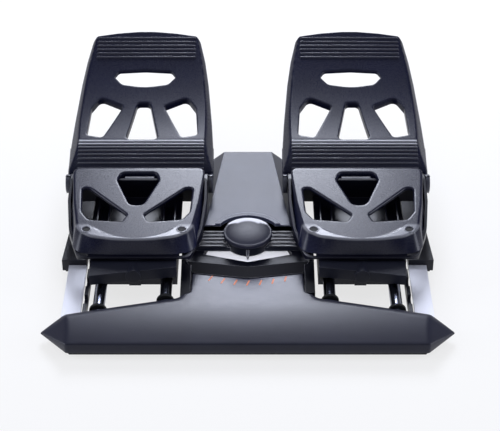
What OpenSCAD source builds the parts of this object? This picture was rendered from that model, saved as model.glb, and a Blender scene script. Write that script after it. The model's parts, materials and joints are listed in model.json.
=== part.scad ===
// Rudder pedals for a flight simulator: two sliding pedals tied by a swing lever, with hinged toe plates.
// X runs to the right, Y away from the user, Z up from the floor, in millimetres.

/* [Base] */
// Depth of the front footplate's front edge from the middle
front_reach = 192.5; // [190:0.5:196]
// Half width of the base at the pointed ends of the footplate
tip_half = 185; // [180:1:190]
// Height of the footplate at its front edge
plate_front_h = 16.5; // [14:0.5:18]
// Height of the footplate at its rear edge
plate_rear_h = 22.4; // [22:0.1:23]
// Height of the rubber feet
foot_h = 3; // [2:0.5:3.5]
// Thickness of the floor tray
tray_t = 3; // [2:0.5:3]
// How far the rear plate's wings stay in from the footplate's ends
wing_in = 10.2; // [7:0.1:13]
// Height of the rear plate's top
wing_h = 18; // [17.5:0.5:20]

/* [Rails] */
// Distance between the two pedals' centre lines
pedal_pitch = 210; // [206:1:214]
// Distance between the two tubes of one pedal
tube_gap = 60; // [56:1:62]
// Outside diameter of a rail tube
tube_d = 11; // [9:0.5:12]
// Wall of a rail tube
tube_wall = 1.3; // [1:0.1:2]
// Height of the tubes' centre lines
tube_z = 15; // [14.5:0.1:15.2]
// Running clearance between a tube and its bushing
tube_clear = 0.05; // [0.03:0.01:0.08]

/* [Rudder] */
// Distance of a drive pin from the middle of the base
pin_reach = 82; // [78:1:86]
// Diameter of a drive pin
pin_d = 8; // [6:0.5:8.5]
// Side clearance between a drive pin and its slot
slot_clear = 0.5; // [0.4:0.05:0.7]
// Place of the lever's pivot behind the front edge
pivot_setback = 132.5; // [130:0.5:134]
// Diameter of the pivot shaft
shaft_d = 12; // [8:0.5:14]
// Radius of the hub cap
cap_r = 26; // [23:0.5:27]

/* [Pedals] */
// Width of the pedal body
body_w = 132; // [128:0.5:132]
// Thickness of the heel plate and the toe plate
plate_t = 3; // [2.5:0.1:3.5]
// Height of the heel plate's top at its screws
heel_h = 56.6; // [55:0.1:60]
// Slope of the heel plate in degrees
heel_slope = 6; // [3:0.5:8]
// Diameter of the toe axle
axle_d = 6; // [4:0.5:7]
// Hollow radius of the toe plate's foot surface
toe_hollow_r = 440; // [380:10:600]
// Radius of the ribbed roll at the ball of the foot
roll_r = 60; // [56:1:66]
// Number of ribs on the roll
roll_ribs = 8; // [5:1:9]
// Number of ribs at the toe end
toe_ribs = 6; // [3:1:6]

/* [Hidden] */
$fn = 48;

// General allowances
over = 1; // overrun of every cut
far = 600; // reach of the planes that trim a form
gap = 0.4; // clearance between separate mouldings

// Footplate and tray. A name that ends in back is measured from the front edge.
front_y = -front_reach;
tray_top = foot_h + tray_t;
tray_inset = 2.5;
tip_back = 27.5;
tip_flat = 1.6;
tip_rise = 5;
corner_in = 21.6; // the rear corners, in from the tips
corner_back = 38.6;
front_corner_in = 25;
inner_half = 64; // where the footplate's wings meet the dial
inner_back = 61.8;
shoulder_back = 67.7;
shoulder_step = 1;
dial_half = 51; // half width of the dial surface
dial_back = 88.1; // point of the dial bridge's lower edge
dial_side_back = 96.2;
tip_y = front_y + tip_back;
tip_h = foot_h + tip_rise;
corner_half = tip_half - corner_in;
corner_y = front_y + corner_back;
front_corner_half = tip_half - front_corner_in;
inner_y = front_y + inner_back;
shoulder_half = dial_half + shoulder_step;
shoulder_y = front_y + shoulder_back;
dial_y = front_y + dial_back;
dial_side_y = front_y + dial_side_back;
dial_h = plate_rear_h;
pivot_y = front_y + pivot_setback;

// Rear plate
wing_back = 121.8; // front edge of the wings
arm_w = 23.3;
bar_back = 238.5; // front face of the rear bar
rear_back = 310.5;
rear_corner_in = 26;
rear_side_in = 8.8;
rear_side_back = 267.5;
rear_slope_run = 14;
spine_half = 48;
wing_half = tip_half - wing_in;
arm_in = wing_half - arm_w; // inner face of the side arms
wing_y = front_y + wing_back;
bar_y = front_y + bar_back;
rear_y = front_y + rear_back;
rear_corner_half = wing_half - rear_corner_in;
rear_side_half = wing_half - rear_side_in;
rear_side_y = front_y + rear_side_back;

// Rails
pedal_x = pedal_pitch / 2;
tube_r = tube_d / 2;
tube_socket_l = 12;
tube_rear_socket_l = 26;
function tube_front_y(k) = plate_back(pedal_x + k * tube_gap / 2 - tube_r) - tube_socket_l;
tube_rear_y = bar_y + tube_rear_socket_l;
strip_w = 17.1;
strip_lap = 0.3; // the strip reaches this far inside the arm
strip_t = 3;
strip_rise = 6;
strip_front_back = 26;
strip_socket_l = 14;
strip_in = arm_in - strip_lap;
strip_out = strip_in + strip_w;
strip_z = foot_h + strip_rise;
strip_front_y = front_y + strip_front_back;
strip_rear_y = wing_y + strip_socket_l;
rail_offset = 6; // the rail's inner face stands this far inside the arm
rail_t = 3.4;
rail_rise = 5;
rail_h = 10.5;
rail_front_back = 34;
rail_socket_l = 10;
rail_notch_l = 13;
rail_notch_h = 5.5;
rail_notches = 4;
rail_in = arm_in - rail_offset;
rail_z = foot_h + rail_rise;
rail_front_y = front_y + rail_front_back;
rail_rear_y = bar_y + rail_socket_l;
bumper_t = 3.2;
bumper_wall = 2.6;
bumper_r = tube_r + bumper_wall;

// Centre cover and dial
cover_top = 38;
cover_wall = 2.2;
cover_front_behind = 18.3; // behind the pivot
cover_rear_back = 279;
cover_front_half = 40;
cover_rear_half = 24;
cover_chamfer = 10;
cover_lean_share = 0.4; // how much of the wall the sloped sides move in by
cover_end_share = 1.4; // drop of the sloped rear end, of the chamfer
arm_window_behind = 33;
cover_front_y = pivot_y + cover_front_behind;
cover_rear_y = front_y + cover_rear_back;
cover_end_y = cover_rear_y + cover_chamfer / 2;
arm_window_y = pivot_y + arm_window_behind;
rim_out_r = 36;
rim_in_r = 31.6;
rim_h = 2;
bridge_top = 29.3;
bridge_point_back = 96.4; // point of the bridge's top edge
bridge_end_back = 113.5;
bridge_play = 4.1; // between the bridge and the carriages
carriage_half = 39.4;
bridge_half = pedal_x - carriage_half - bridge_play;
bridge_point_y = front_y + bridge_point_back;
bridge_end_y = front_y + bridge_end_back;
bridge_rear_y = cover_front_y - gap;
leg_w = 9;
leg_step = 1;
fan_top = 25;
fan_t = 2;
fan_rear_half = 34;
fan_front_half = 41;
fan_rear_behind = 4;
fan_front_back = 115.8;
fan_point_back = 104.1;
fan_rear_y = pivot_y + fan_rear_behind;
fan_front_y = front_y + fan_front_back;
fan_point_y = front_y + fan_point_back;

// Lever and pivot
lever_z = 30;
lever_t = 4;
rib_h = 1.5;
arm_half = 12;
arm_end_half = 10;
arm_corner_r = 8;
arm_waist_r = 4;
arm_tail = 20; // the arm's length past the drive pin
arm_ribs = 5;
arm_rib_w = 1.8;
lever_reach = pin_reach + arm_tail;
hub_r = 20;
slot_in_play = 2;
slot_out_play = 9;
slot_in = pin_reach - pin_d / 2 - slot_in_play;
slot_out = pin_reach + pin_d / 2 + slot_out_play;
shaft_r = shaft_d / 2;
shaft_play = 0.05;
housing_wall = 8;
housing_drop = 2.4; // gap between the housing and the lever
housing_r = shaft_r + housing_wall;
housing_top = lever_z - housing_drop;
sensor_wall = 2;
sensor_r = shaft_r + sensor_wall;
sensor_h = 8;
spring_play = 0.6;
spring_wire = 2.4;
spring_turns = 4;
spring_in_r = housing_r + spring_play;
spring_out_r = spring_in_r + spring_wire;
cap_gap = 2.6; // the cap stands this far above the lever's ribs
cap_z = lever_z + lever_t + rib_h + cap_gap;
cap_rim_h = 5;
cap_dome_h = 4;
cap_wall = 2;
cap_edge = 1;
needle_w = 2.6;
needle_t = 2.4;
needle_reach = 30.5;
needle_tip_l = 4;

// Carriage, measured from the pedal's centre line
carriage_front_ahead = 32; // ahead of the pivot
carriage_l = 100;
carriage_rise = 2.6;
carriage_front_y = pivot_y - carriage_front_ahead;
carriage_rear_y = carriage_front_y + carriage_l;
carriage_z = foot_h + carriage_rise;
block_top = 25;
tower_top = 38;
front_tower_l = 9;
rear_tower_l = 41;
bushing_wall = 2.5;
bushing_r = tube_r + bushing_wall;
bushing_l = 15;
bush_step = 1;
pin_x = pin_reach - pedal_x;
pin_seat = 3;
pin_proud = 1;
pin_z = block_top - pin_seat;
pin_top = lever_z + lever_t + rib_h + pin_proud;
boss_half = 5.5;
boss_t = 1.6;
nose_out_l = 23.4; // the nose over the tubes is longest on its outer side
nose_in_l = 11.6;
nose_top = 36;
nose_front_top = 33.3;
nose_bottom = 22.9;
nose_boss_r = 6.9;
nose_boss_z = 29;
nose_boss_l = 19.3;
pocket_roof = 4;

// Pedal body and heel plate
body_half = body_w / 2;
body_z = 36.3;
body_wall = 2.6;
body_floor_t = 3;
body_rear_behind = 63;
body_waist_in = 3.5;
body_waist_l = 38;
body_front_in = 14.5;
body_side_l = 72;
body_front_r = 8;
body_side_r = 30;
body_rear_r = 2;
body_bevel = 4;
front_bevel_h = 2.6;
front_bevel_l = 3.2;
body_front_ahead = 37.2;
heel_rear_behind = 75;
stop_draft = 4; // how far the stop's front leans back
body_front_y = pivot_y - body_front_ahead;
heel_front_y = body_front_y + body_wall + gap;
heel_rear_y = pivot_y + heel_rear_behind;
body_rear_y = pivot_y + body_rear_behind;
screw_x = 44.2;
screw_ahead = 15.2;
screw_y = pivot_y - screw_ahead;
lip_rise = 5;
lip_z = body_z + lip_rise;
apron_ahead = 8;
apron_rear_y = screw_y - apron_ahead;
screw_r = 1.6;
screw_head_r = 3.2;
screw_head_h = 2.2;
screw_sink = 1.4;
screw_cap_h = 1.2;
screw_play = 0.3;
post_wall = 2.4;
lug_t = 6;
lug_in = 1; // the lug is this much smaller than the toe plate's ear

// Toe plate
axle_r = axle_d / 2;
axle_behind = 72;
axle_y = pivot_y + axle_behind;
axle_z = 50;
axle_play = 0.05;
ear_gap = 0.5;
ear_t = 4.6;
ear_r = 10;
ear_run = 6;
toe_bush_wall = 2;
toe_bush_r = axle_r + toe_bush_wall;
hollow_behind = 100; // where the foot surface's hollow has its start height
hollow_z = 68.7;
hollow_start = 8; // slope there in degrees
roll_end_behind = 120;
roll_front_behind = 86;
toe_far_behind = 246.5;
toe_apex_behind = 252;
hollow_y = pivot_y + hollow_behind;
roll_end_y = pivot_y + roll_end_behind;
roll_front_y = pivot_y + roll_front_behind;
toe_far_y = pivot_y + toe_far_behind;
toe_apex_y = pivot_y + toe_apex_behind;
toe_top_half_near = 62.5;
toe_top_half_far = 51.5;
toe_shoulder = 7.5;
toe_side_drop = 10;
toe_wall = 3.4;
toe_end_depth = 13;
toe_mid_depth = 19;
toe_front_depth = 9.6;
rib_pitch = 4.3;
rib_w = 1.7;
rib_rise = 1.4;
rib_margin = 0.4;
collar_depth = 6.6;
collar_wall = 1.6;

// Plain helpers
function unit(v) = v / norm(v);
function corner(a, p, b, r, n) =
  let (
    u = unit(a - p),
    v = unit(b - p),
    half = acos(u * v) / 2,
    reach = r / tan(half),
    c = p + unit(u + v) * (r / sin(half)),
    s = p + u * reach - c,
    e = p + v * reach - c,
    start = atan2(s.y, s.x),
    step = atan2(e.y, e.x) - start,
    turn = step > 180 ? step - 360 : step < -180 ? step + 360 : step
  )
  [for (i = [0:n]) c + r * [cos(start + turn * i / n), sin(start + turn * i / n)]];
// A closed outline with every corner turned at radius r
function rounded(points, r, n = 5) =
  let (count = len(points))
  [for (i = [0:count - 1])
    each corner(points[(i + count - 1) % count], points[i], points[(i + 1) % count],
      is_list(r) ? r[i] : r, n)];
// A convex outline moved outwards by a distance
function grown(points, d) =
  let (count = len(points))
  [for (i = [0:count - 1])
    let (
      u = unit(points[(i + count - 1) % count] - points[i]),
      v = unit(points[(i + 1) % count] - points[i])
    )
    points[i] - unit(u + v) * (d / sin(acos(u * v) / 2))];
// A half outline, listed front to back on the right, closed by its mirror image
function both_halves(half) =
  concat(half, [for (i = [len(half) - 1:-1:0]) [-half[i].x, half[i].y]]);
// A list of sizes for the points of both halves
function mirrored(list) = concat(list, [for (i = [len(list) - 1:-1:0]) list[i]]);
function heel_top(y) = heel_h + (y - screw_y) * tan(heel_slope);

module on_side(side) {
  if (side > 0) children();
  else mirror([1, 0, 0]) children();
}

// Moves a right-hand piece to its pedal; the left one is its mirror image
module at_pedal(side) {
  on_side(side) translate([pedal_x, 0, 0]) children();
}

// The half space above the plane through three points
module above(a, b, c) {
  raw = cross(b - a, c - a);
  n = raw.z < 0 ? -unit(raw) : unit(raw);
  translate(a) rotate([0, acos(n.z), atan2(n.y, n.x)])
    translate([-far, -far, 0]) cube([far * 2, far * 2, far]);
}

module bar_x(half, y, z, r) {
  translate([-half, y, z]) rotate([0, 90, 0]) cylinder(h = half * 2, r = r);
}

module rod_y(x, y, z, r, length) {
  translate([x, y, z]) rotate([-90, 0, 0]) cylinder(h = length, r = r);
}

// Footplate
crown_run = 52; // from the front edge to the top of the crown
crown_steps = 12;
edge_roll = 2.4; // the wings' rear edge rolls off by this much
edge_roll_run = 9;
plate_half = [
  [front_corner_half, front_y],
  [tip_half, tip_y - tip_flat / 2],
  [tip_half, tip_y + tip_flat / 2],
  [corner_half, corner_y],
  [inner_half, inner_y],
  [shoulder_half, shoulder_y],
  [dial_half, dial_side_y - gap],
  [0, dial_y - gap]
];
function share(t, a, b) = a + (b - a) * t;
function plate_back(x) = lookup(abs(x), [for (i = [7:-1:3]) plate_half[i]]);
function crown(t) = plate_rear_h - (plate_rear_h - plate_front_h) * pow(1 - t, 2);

module front_plate() {
  color("#3b3d45") difference() {
    translate([0, 0, tray_top]) linear_extrude(plate_rear_h - tray_top) polygon(closed_plan(plate_half));
    // The top rises in a crown from the front edge
    translate([-far, 0, 0]) rotate([90, 0, 90]) linear_extrude(far * 2) polygon(concat(
      [for (i = [0:crown_steps]) [front_y + crown_run * i / crown_steps, crown(i / crown_steps)]],
      [[front_y + crown_run, plate_rear_h + over], [front_y - over, plate_rear_h + over], [front_y - over, plate_front_h]]
    ));
    for (s = [-1, 1]) {
      // Sloped facets at both ends
      above([s * corner_half, corner_y, plate_rear_h], [s * front_corner_half, front_y, plate_front_h],
        [s * tip_half, tip_y, tip_h]);
      // The wings' rear edge rolls off
      above([s * inner_half, inner_y, plate_rear_h - edge_roll], [s * corner_half, corner_y, plate_rear_h - edge_roll],
        [s * inner_half, inner_y - edge_roll_run, plate_rear_h]);
    }
    for (side = [-1, 1]) for (k = [-1, 1])
      rod_y(side * (pedal_x + k * tube_gap / 2), tube_front_y(k) - gap, tube_z, tube_r, far);
    for (side = [-1, 1]) on_side(side) {
      translate([strip_in - gap, strip_front_y - gap, strip_z - gap])
        cube([strip_out - strip_in + gap * 2, far, strip_t + gap * 2]);
      translate([rail_in - gap, rail_front_y - gap, rail_z - gap])
        cube([rail_t + gap * 2, far, rail_h + gap * 2]);
    }
  }
}

tray_tip_in = 7.5;
tray_front_half = [
  [0, front_y + tray_inset],
  [front_corner_half - tray_inset, front_y + tray_inset],
  [tip_half - tray_tip_in, tip_y],
  [corner_half, corner_y - tray_inset],
  [inner_half, inner_y - tray_inset],
  [spine_half, shoulder_y]
];
tray_rear_half = [
  [spine_half, bar_y + tray_inset],
  [arm_in + tray_inset, bar_y + tray_inset],
  [arm_in + tray_inset, wing_y + tray_inset],
  [wing_half - tray_inset, wing_y + tray_inset],
  [rear_side_half - tray_inset, rear_side_y],
  [rear_corner_half - tray_inset, rear_y - tray_inset],
  [0, rear_y - tray_inset]
];

module base_tray() {
  color("#1b1c22") {
    difference() {
      translate([0, 0, foot_h]) linear_extrude(tray_t)
        polygon(both_halves(concat(tray_front_half, tray_rear_half)));
      for (p = screw_places)
        translate([p.x, p.y, foot_h - over]) cylinder(h = tray_t + over * 2, r = screw_r);
    }
  }
}

foot_r = 8;
foot_front_in = 10; // a foot's middle, in from the corner or wing above it
foot_wing_in = 12.8;
foot_rear_in = 10.8;
foot_middle_half = 75;
foot_front_half = front_corner_half - foot_front_in;
foot_wing_half = wing_half - foot_wing_in;
foot_rear_half = rear_corner_half - foot_rear_in;
foot_front_back = 24;
foot_middle_back = 18;
foot_wing_behind = 14;
foot_rear_ahead = 16;
foot_half_places = [
  [foot_front_half, front_y + foot_front_back],
  [foot_middle_half, front_y + foot_middle_back],
  [foot_wing_half, wing_y + foot_wing_behind],
  [foot_rear_half, rear_y - foot_rear_ahead]
];
screw_front_in = 36;
screw_wing_in = 13.8;
screw_rear_in = 40.8;
screw_middle_half = 26;
screw_front_half = front_corner_half - screw_front_in;
screw_wing_half = wing_half - screw_wing_in;
screw_rear_half = rear_corner_half - screw_rear_in;
screw_front_back = 30;
screw_middle_back = 40;
screw_wing_behind = 46;
screw_rear_ahead = 20;
screw_half_places = [
  [screw_front_half, front_y + screw_front_back],
  [screw_middle_half, front_y + screw_middle_back],
  [screw_wing_half, wing_y + screw_wing_behind],
  [screw_rear_half, rear_y - screw_rear_ahead]
];
function both_sides(places) = [for (p = places) for (s = [-1, 1]) [s * p.x, p.y]];
foot_places = both_sides(foot_half_places);
screw_places = both_sides(screw_half_places);
module rubber_feet() {
  color("#141416") for (p = foot_places) translate([p.x, p.y, 0]) cylinder(h = foot_h, r = foot_r);
}

module base_screws() {
  color("#8c8f96") for (p = screw_places)
    translate([p.x, p.y, foot_h - screw_head_h]) {
      cylinder(h = screw_head_h, r = screw_head_r);
      cylinder(h = screw_head_h + tray_t, r = screw_r);
    }
}

wing_edge = 2;
rear_outline_half = [
  [arm_in, bar_y],
  [arm_in, wing_y],
  [wing_half, wing_y],
  [rear_side_half, rear_side_y],
  [rear_corner_half, rear_y],
  [0, rear_y]
];
module rear_plate() {
  color("#20222a") difference() {
    translate([0, 0, tray_top]) linear_extrude(wing_h - tray_top)
      polygon(both_halves(concat([[0, bar_y]], rear_outline_half)));
    // The rear edge slopes down to the floor
    above([0, rear_y - rear_slope_run, wing_h], [far, rear_y - rear_slope_run, wing_h],
      [0, rear_y, tray_top + wing_edge]);
    for (side = [-1, 1]) for (k = [-1, 1])
      rod_y(side * (pedal_x + k * tube_gap / 2), bar_y - over, tube_z, tube_r, tube_rear_y - bar_y + over + gap);
    for (side = [-1, 1]) on_side(side) {
      translate([strip_in - gap, wing_y - over, strip_z - gap])
        cube([strip_out - strip_in + gap * 2, strip_rear_y - wing_y + over + gap, strip_t + gap * 2]);
    }
    for (side = [-1, 1]) on_side(side)
      translate([rail_in - gap, bar_y - over, rail_z - gap])
        cube([rail_t + gap * 2, rail_rear_y - bar_y + over + gap, rail_h + gap * 2]);
    // Room for the cover's foot and the board
    linear_extrude(wing_h + over) polygon(cover_plan(-gap));
    rod_y(0, gland_y - gap, gland_z, gland_r, far);
  }
}

module side_strip(side) {
  color("#c9cbd4") on_side(side) translate([strip_in, strip_front_y, strip_z])
    cube([strip_out - strip_in, strip_rear_y - strip_front_y, strip_t]);
}

module guide_rail(side) {
  color("#1d1f26") on_side(side) difference() {
    translate([rail_in, rail_front_y, rail_z]) cube([rail_t, rail_rear_y - rail_front_y, rail_h]);
    for (k = [0:rail_notches - 1])
      translate([rail_in - over, inner_y - rail_notch_l / 2 + k * rail_notch_l * 2, rail_z + rail_h - rail_notch_h])
        cube([rail_t + over * 2, rail_notch_l, rail_notch_h + over]);
  }
}

module rail_tube(side, k) {
  x = side * (pedal_x + k * tube_gap / 2);
  color("#2a2d36") difference() {
    rod_y(x, tube_front_y(k), tube_z, tube_r, tube_rear_y - tube_front_y(k));
    rod_y(x, tube_front_y(k) - over, tube_z, tube_r - tube_wall, tube_rear_y - tube_front_y(k) + over * 2);
  }
}

module rail_bumpers() {
  color("#101114") for (side = [-1, 1]) for (k = [-1, 1]) for (at = [plate_stop_y(k), bar_y - bumper_t])
    difference() {
      rod_y(side * (pedal_x + k * tube_gap / 2), at, tube_z, bumper_r, bumper_t);
      rod_y(side * (pedal_x + k * tube_gap / 2), at - over, tube_z, tube_r, bumper_t + over * 2);
    }
}
function plate_stop_y(k) = plate_back(pedal_x + k * tube_gap / 2 - bumper_r);

// Centre cover
function cover_plan(inset) = [
  [cover_front_half + cover_chamfer - inset, cover_front_y],
  [cover_rear_half + cover_chamfer - inset, cover_end_y - inset],
  [-cover_rear_half - cover_chamfer + inset, cover_end_y - inset],
  [-cover_front_half - cover_chamfer + inset, cover_front_y]
];
module cover_form(inset) {
  high = cover_top - inset;
  front_half = cover_front_half - inset * cover_lean_share;
  rear_half = cover_rear_half - inset * cover_lean_share;
  difference() {
    translate([0, 0, tray_top - (inset > 0 ? over : 0)]) linear_extrude(high - tray_top + (inset > 0 ? over : 0))
      polygon(cover_plan(inset));
    for (s = [-1, 1])
      above([s * front_half, cover_front_y, high], [s * rear_half, cover_rear_y, high],
        [s * (front_half + cover_chamfer), cover_front_y, high - cover_chamfer]);
    above([0, cover_rear_y - inset, high], [far, cover_rear_y - inset, high],
      [0, cover_end_y - inset, high - cover_chamfer * cover_end_share]);
  }
}
module centre_cover() {
  color("#8f91a3") difference() {
    union() {
      difference() {
        cover_form(0);
        difference() {
          cover_form(cover_wall);
          // the top skin stays whole up to its front edge
          translate([-far, cover_front_y - over, cover_top - cover_wall]) cube([far * 2, over * 2, cover_wall]);
        }
      }
      intersection() {
        translate([0, pivot_y, cover_top - cover_wall]) cylinder(h = cover_wall + rim_h, r = rim_out_r, $fn = 96);
        translate([-far, cover_front_y, 0]) cube([far * 2, far, far]);
      }
    }
    translate([0, pivot_y, -over]) cylinder(h = far, r = rim_in_r, $fn = 96);
    // The lever sweeps under the skin here
    translate([-far, cover_front_y - over, -over])
      cube([far * 2, arm_window_y - cover_front_y + over, lever_z + lever_t + rib_h + gap * 2 + over]);
  }
}

// Dial
module dial_bridge() {
  outline = [
    [bridge_half, bridge_rear_y],
    [bridge_half, bridge_end_y],
    [dial_half, dial_side_y],
    [0, dial_y],
    [-dial_half, dial_side_y],
    [-bridge_half, bridge_end_y],
    [-bridge_half, bridge_rear_y]
  ];
  color("#15161d") difference() {
    union() {
      difference() {
        translate([0, 0, tray_top]) linear_extrude(bridge_top - tray_top) polygon(outline);
        // The face under the top edge leans back
        for (s = [-1, 1])
          above([0, dial_y, dial_h], [s * dial_half, dial_side_y, dial_h], [0, bridge_point_y, bridge_top]);
      }
      // A leg on each side slopes down to the footplate's rear edge
      for (s = [-1, 1]) on_side(s) difference() {
        translate([0, 0, tray_top]) linear_extrude(bridge_top - tray_top) polygon([
          [bridge_half, bridge_end_y],
          [bridge_half, plate_back(bridge_half) + gap],
          [bridge_half - leg_w, plate_back(bridge_half - leg_w) + gap],
          [bridge_half - leg_w, bridge_end_y]
        ]);
        above([0, bridge_end_y, bridge_top], [far, bridge_end_y, bridge_top], [0, shoulder_y, dial_h - leg_step]);
      }
    }
    // Recess of the dial plate
    translate([0, 0, fan_top - fan_t]) linear_extrude(far) polygon([
      [fan_rear_half + gap, cover_front_y],
      [fan_rear_half + gap, fan_rear_y],
      [fan_front_half + gap, fan_front_y],
      [0, fan_point_y - gap],
      [-fan_front_half - gap, fan_front_y],
      [-fan_rear_half - gap, fan_rear_y],
      [-fan_rear_half - gap, cover_front_y]
    ]);
    // Room for the pivot housing and its spring
    translate([0, pivot_y, -over]) cylinder(h = far, r = spring_out_r + gap * 2);
    // The footplate's shoulders
    linear_extrude(far) polygon([
      [dial_half + gap, front_y], [dial_half + gap, shoulder_y + gap], [far, shoulder_y + gap], [far, front_y]
    ]);
  }
}

module dial_plate() {
  color("#d6d8e0") difference() {
    translate([0, 0, fan_top - fan_t]) linear_extrude(fan_t) polygon([
      [fan_rear_half, fan_rear_y],
      [fan_front_half, fan_front_y],
      [0, fan_point_y],
      [-fan_front_half, fan_front_y],
      [-fan_rear_half, fan_rear_y]
    ]);
    translate([0, pivot_y, 0]) cylinder(h = far, r = housing_r + gap);
  }
}

// Pivot
module pivot_housing() {
  color("#23252c") difference() {
    union() {
      translate([0, pivot_y, tray_top]) cylinder(h = housing_top - tray_top, r = housing_r);
      translate([0, pivot_y, tray_top]) cylinder(h = tray_t, r = spring_out_r);
    }
    translate([0, pivot_y, 0]) cylinder(h = far, r = shaft_r + shaft_play);
    translate([0, pivot_y, 0]) cylinder(h = tray_top + sensor_h + gap, r = sensor_r + gap);
  }
}

module rudder_sensor() {
  color("#2f5d3a") translate([0, pivot_y, tray_top]) cylinder(h = sensor_h, r = sensor_r);
}

module centring_spring() {
  color("#9a9da5") difference() {
    translate([0, pivot_y, tray_top + tray_t]) cylinder(h = spring_wire * spring_turns, r = spring_out_r);
    translate([0, pivot_y, 0]) cylinder(h = far, r = spring_in_r);
  }
}

module pivot_shaft() {
  color("#b4b7bf") translate([0, pivot_y, tray_top + sensor_h + gap])
    cylinder(h = cap_z - tray_top - sensor_h - gap * 2, r = shaft_r);
}

board_half = 22;
board_behind = 70;
board_y = pivot_y + board_behind;
board_l = 46;
board_t = 1.6;
board_stand = 4;
chip_w = 11;
chip_share = [1 / 4, 2 / 3]; // places of the chips along the board
module circuit_board() {
  color("#1f5a3c") {
    translate([-board_half, board_y, tray_top + board_stand]) cube([board_half * 2, board_l, board_t]);
    for (t = chip_share)
      translate([-chip_w / 2, board_y + board_l * t - chip_w / 2, tray_top + board_stand + board_t])
        cube([chip_w, chip_w, board_t]);
    for (x = [-1, 1]) for (y = [0, 1])
      translate([x * (board_half - board_stand), board_y + board_stand + y * (board_l - board_stand * 2), tray_top])
        cylinder(h = board_stand, r = screw_head_r);
  }
}

gland_r = 4.5;
gland_bore_r = 2.3;
gland_rise = 5.6;
gland_z = tray_top + gland_rise;
gland_y = cover_end_y + gap;
gland_proud = 1.6;
module cable_gland() {
  color("#0f1013") difference() {
    rod_y(0, gland_y, gland_z, gland_r, rear_y + gland_proud - gland_y);
    rod_y(0, gland_y - over, gland_z, gland_bore_r, far);
  }
}

// Swing lever
module swing_lever() {
  color("#33353f") difference() {
    union() {
      translate([0, pivot_y, lever_z]) linear_extrude(lever_t) polygon(rounded([
        [lever_reach, -arm_end_half], [lever_reach, arm_end_half], [bridge_half, arm_half],
        [-bridge_half, arm_half], [-lever_reach, arm_end_half], [-lever_reach, -arm_end_half],
        [-bridge_half, -arm_half], [bridge_half, -arm_half]
      ], [for (r = [arm_corner_r, arm_waist_r, arm_corner_r, arm_waist_r]) each [r, r]]));
      translate([0, pivot_y, lever_z]) cylinder(h = cap_z - lever_z, r = hub_r);
      for (s = [-1, 1]) for (k = [0:arm_ribs - 1])
        translate([s > 0 ? hub_r - over : -bridge_half,
          pivot_y - arm_half + (arm_half * 2 - arm_rib_w) * k / (arm_ribs - 1), lever_z + lever_t])
          cube([bridge_half - hub_r + over, arm_rib_w, rib_h]);
    }
    translate([0, pivot_y, 0]) cylinder(h = far, r = shaft_r);
    // Slots that take the drive pins
    for (s = [-1, 1]) on_side(s) {
      for (x = [slot_in + pin_d / 2, slot_out - pin_d / 2])
        translate([x, pivot_y, 0]) cylinder(h = far, r = pin_d / 2 + slot_clear);
      translate([slot_in + pin_d / 2, pivot_y - pin_d / 2 - slot_clear, 0])
        cube([slot_out - slot_in - pin_d, pin_d + slot_clear * 2, far]);
    }
    // Seat of the needle
    translate([-needle_w / 2, pivot_y - hub_r - over, lever_z + lever_t]) cube([needle_w, hub_r / 2 + over, needle_t]);
  }
}

cap_steps = 8;
module hub_cap() {
  color("#24262e") translate([0, pivot_y, cap_z]) difference() {
    rotate_extrude($fn = 96) polygon(concat(
      [[0, 0], [cap_r - cap_edge, 0], [cap_r, cap_edge], [cap_r, cap_rim_h - cap_edge]],
      [for (k = [0:cap_steps]) [(cap_r - cap_edge / 2) * cos(90 * k / cap_steps),
        cap_rim_h - cap_edge / 2 + cap_dome_h * sin(90 * k / cap_steps)]]
    ));
    translate([0, 0, -over]) rotate_extrude($fn = 96)
      polygon([[hub_r + over, 0], [cap_r - cap_wall, 0], [cap_r - cap_wall, cap_rim_h], [hub_r + over, cap_rim_h]]);
  }
}

module needle() {
  color("#d9dbe2") translate([0, pivot_y, lever_z + lever_t]) linear_extrude(needle_t) polygon([
    [-needle_w / 2, -hub_r / 2 - gap], [-needle_w / 2, needle_tip_l - needle_reach], [-needle_w / 6, -needle_reach],
    [needle_w / 6, -needle_reach], [needle_w / 2, needle_tip_l - needle_reach], [needle_w / 2, -hub_r / 2 - gap]
  ]);
}

// Carriage, drawn for the right pedal about its own centre line
module carriage(side) {
  color("#1e2027") at_pedal(side) difference() {
    union() {
      translate([-carriage_half, carriage_front_y, carriage_z]) cube([carriage_half * 2, carriage_l, block_top - carriage_z]);
      translate([-carriage_half, carriage_front_y, carriage_z])
        cube([carriage_half * 2, front_tower_l, tower_top - carriage_z]);
      translate([-carriage_half, carriage_rear_y - rear_tower_l, carriage_z])
        cube([carriage_half * 2, rear_tower_l, tower_top - carriage_z]);
      translate([-boss_half, carriage_front_y - boss_t, carriage_z]) cube([boss_half * 2, boss_t + over, tower_top - carriage_z]);
      carriage_nose();
    }
    for (k = [-1, 1]) {
      rod_y(k * tube_gap / 2, carriage_front_y - over, tube_z, tube_r + bush_step, carriage_l + over * 2);
      rod_y(k * tube_gap / 2, carriage_front_y - over, tube_z, bushing_r, bushing_l + over);
      rod_y(k * tube_gap / 2, carriage_rear_y - bushing_l, tube_z, bushing_r, bushing_l + over);
    }
    translate([pin_x, pivot_y, pin_z]) cylinder(h = far, r = pin_d / 2);
    // Weight-saving pocket from below
    translate([-tube_gap / 2 + bushing_r + over, carriage_front_y + bushing_l, carriage_z - over])
      cube([tube_gap - bushing_r * 2 - over * 2, carriage_l - bushing_l * 2, pin_z - carriage_z - pocket_roof]);
  }
}

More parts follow.
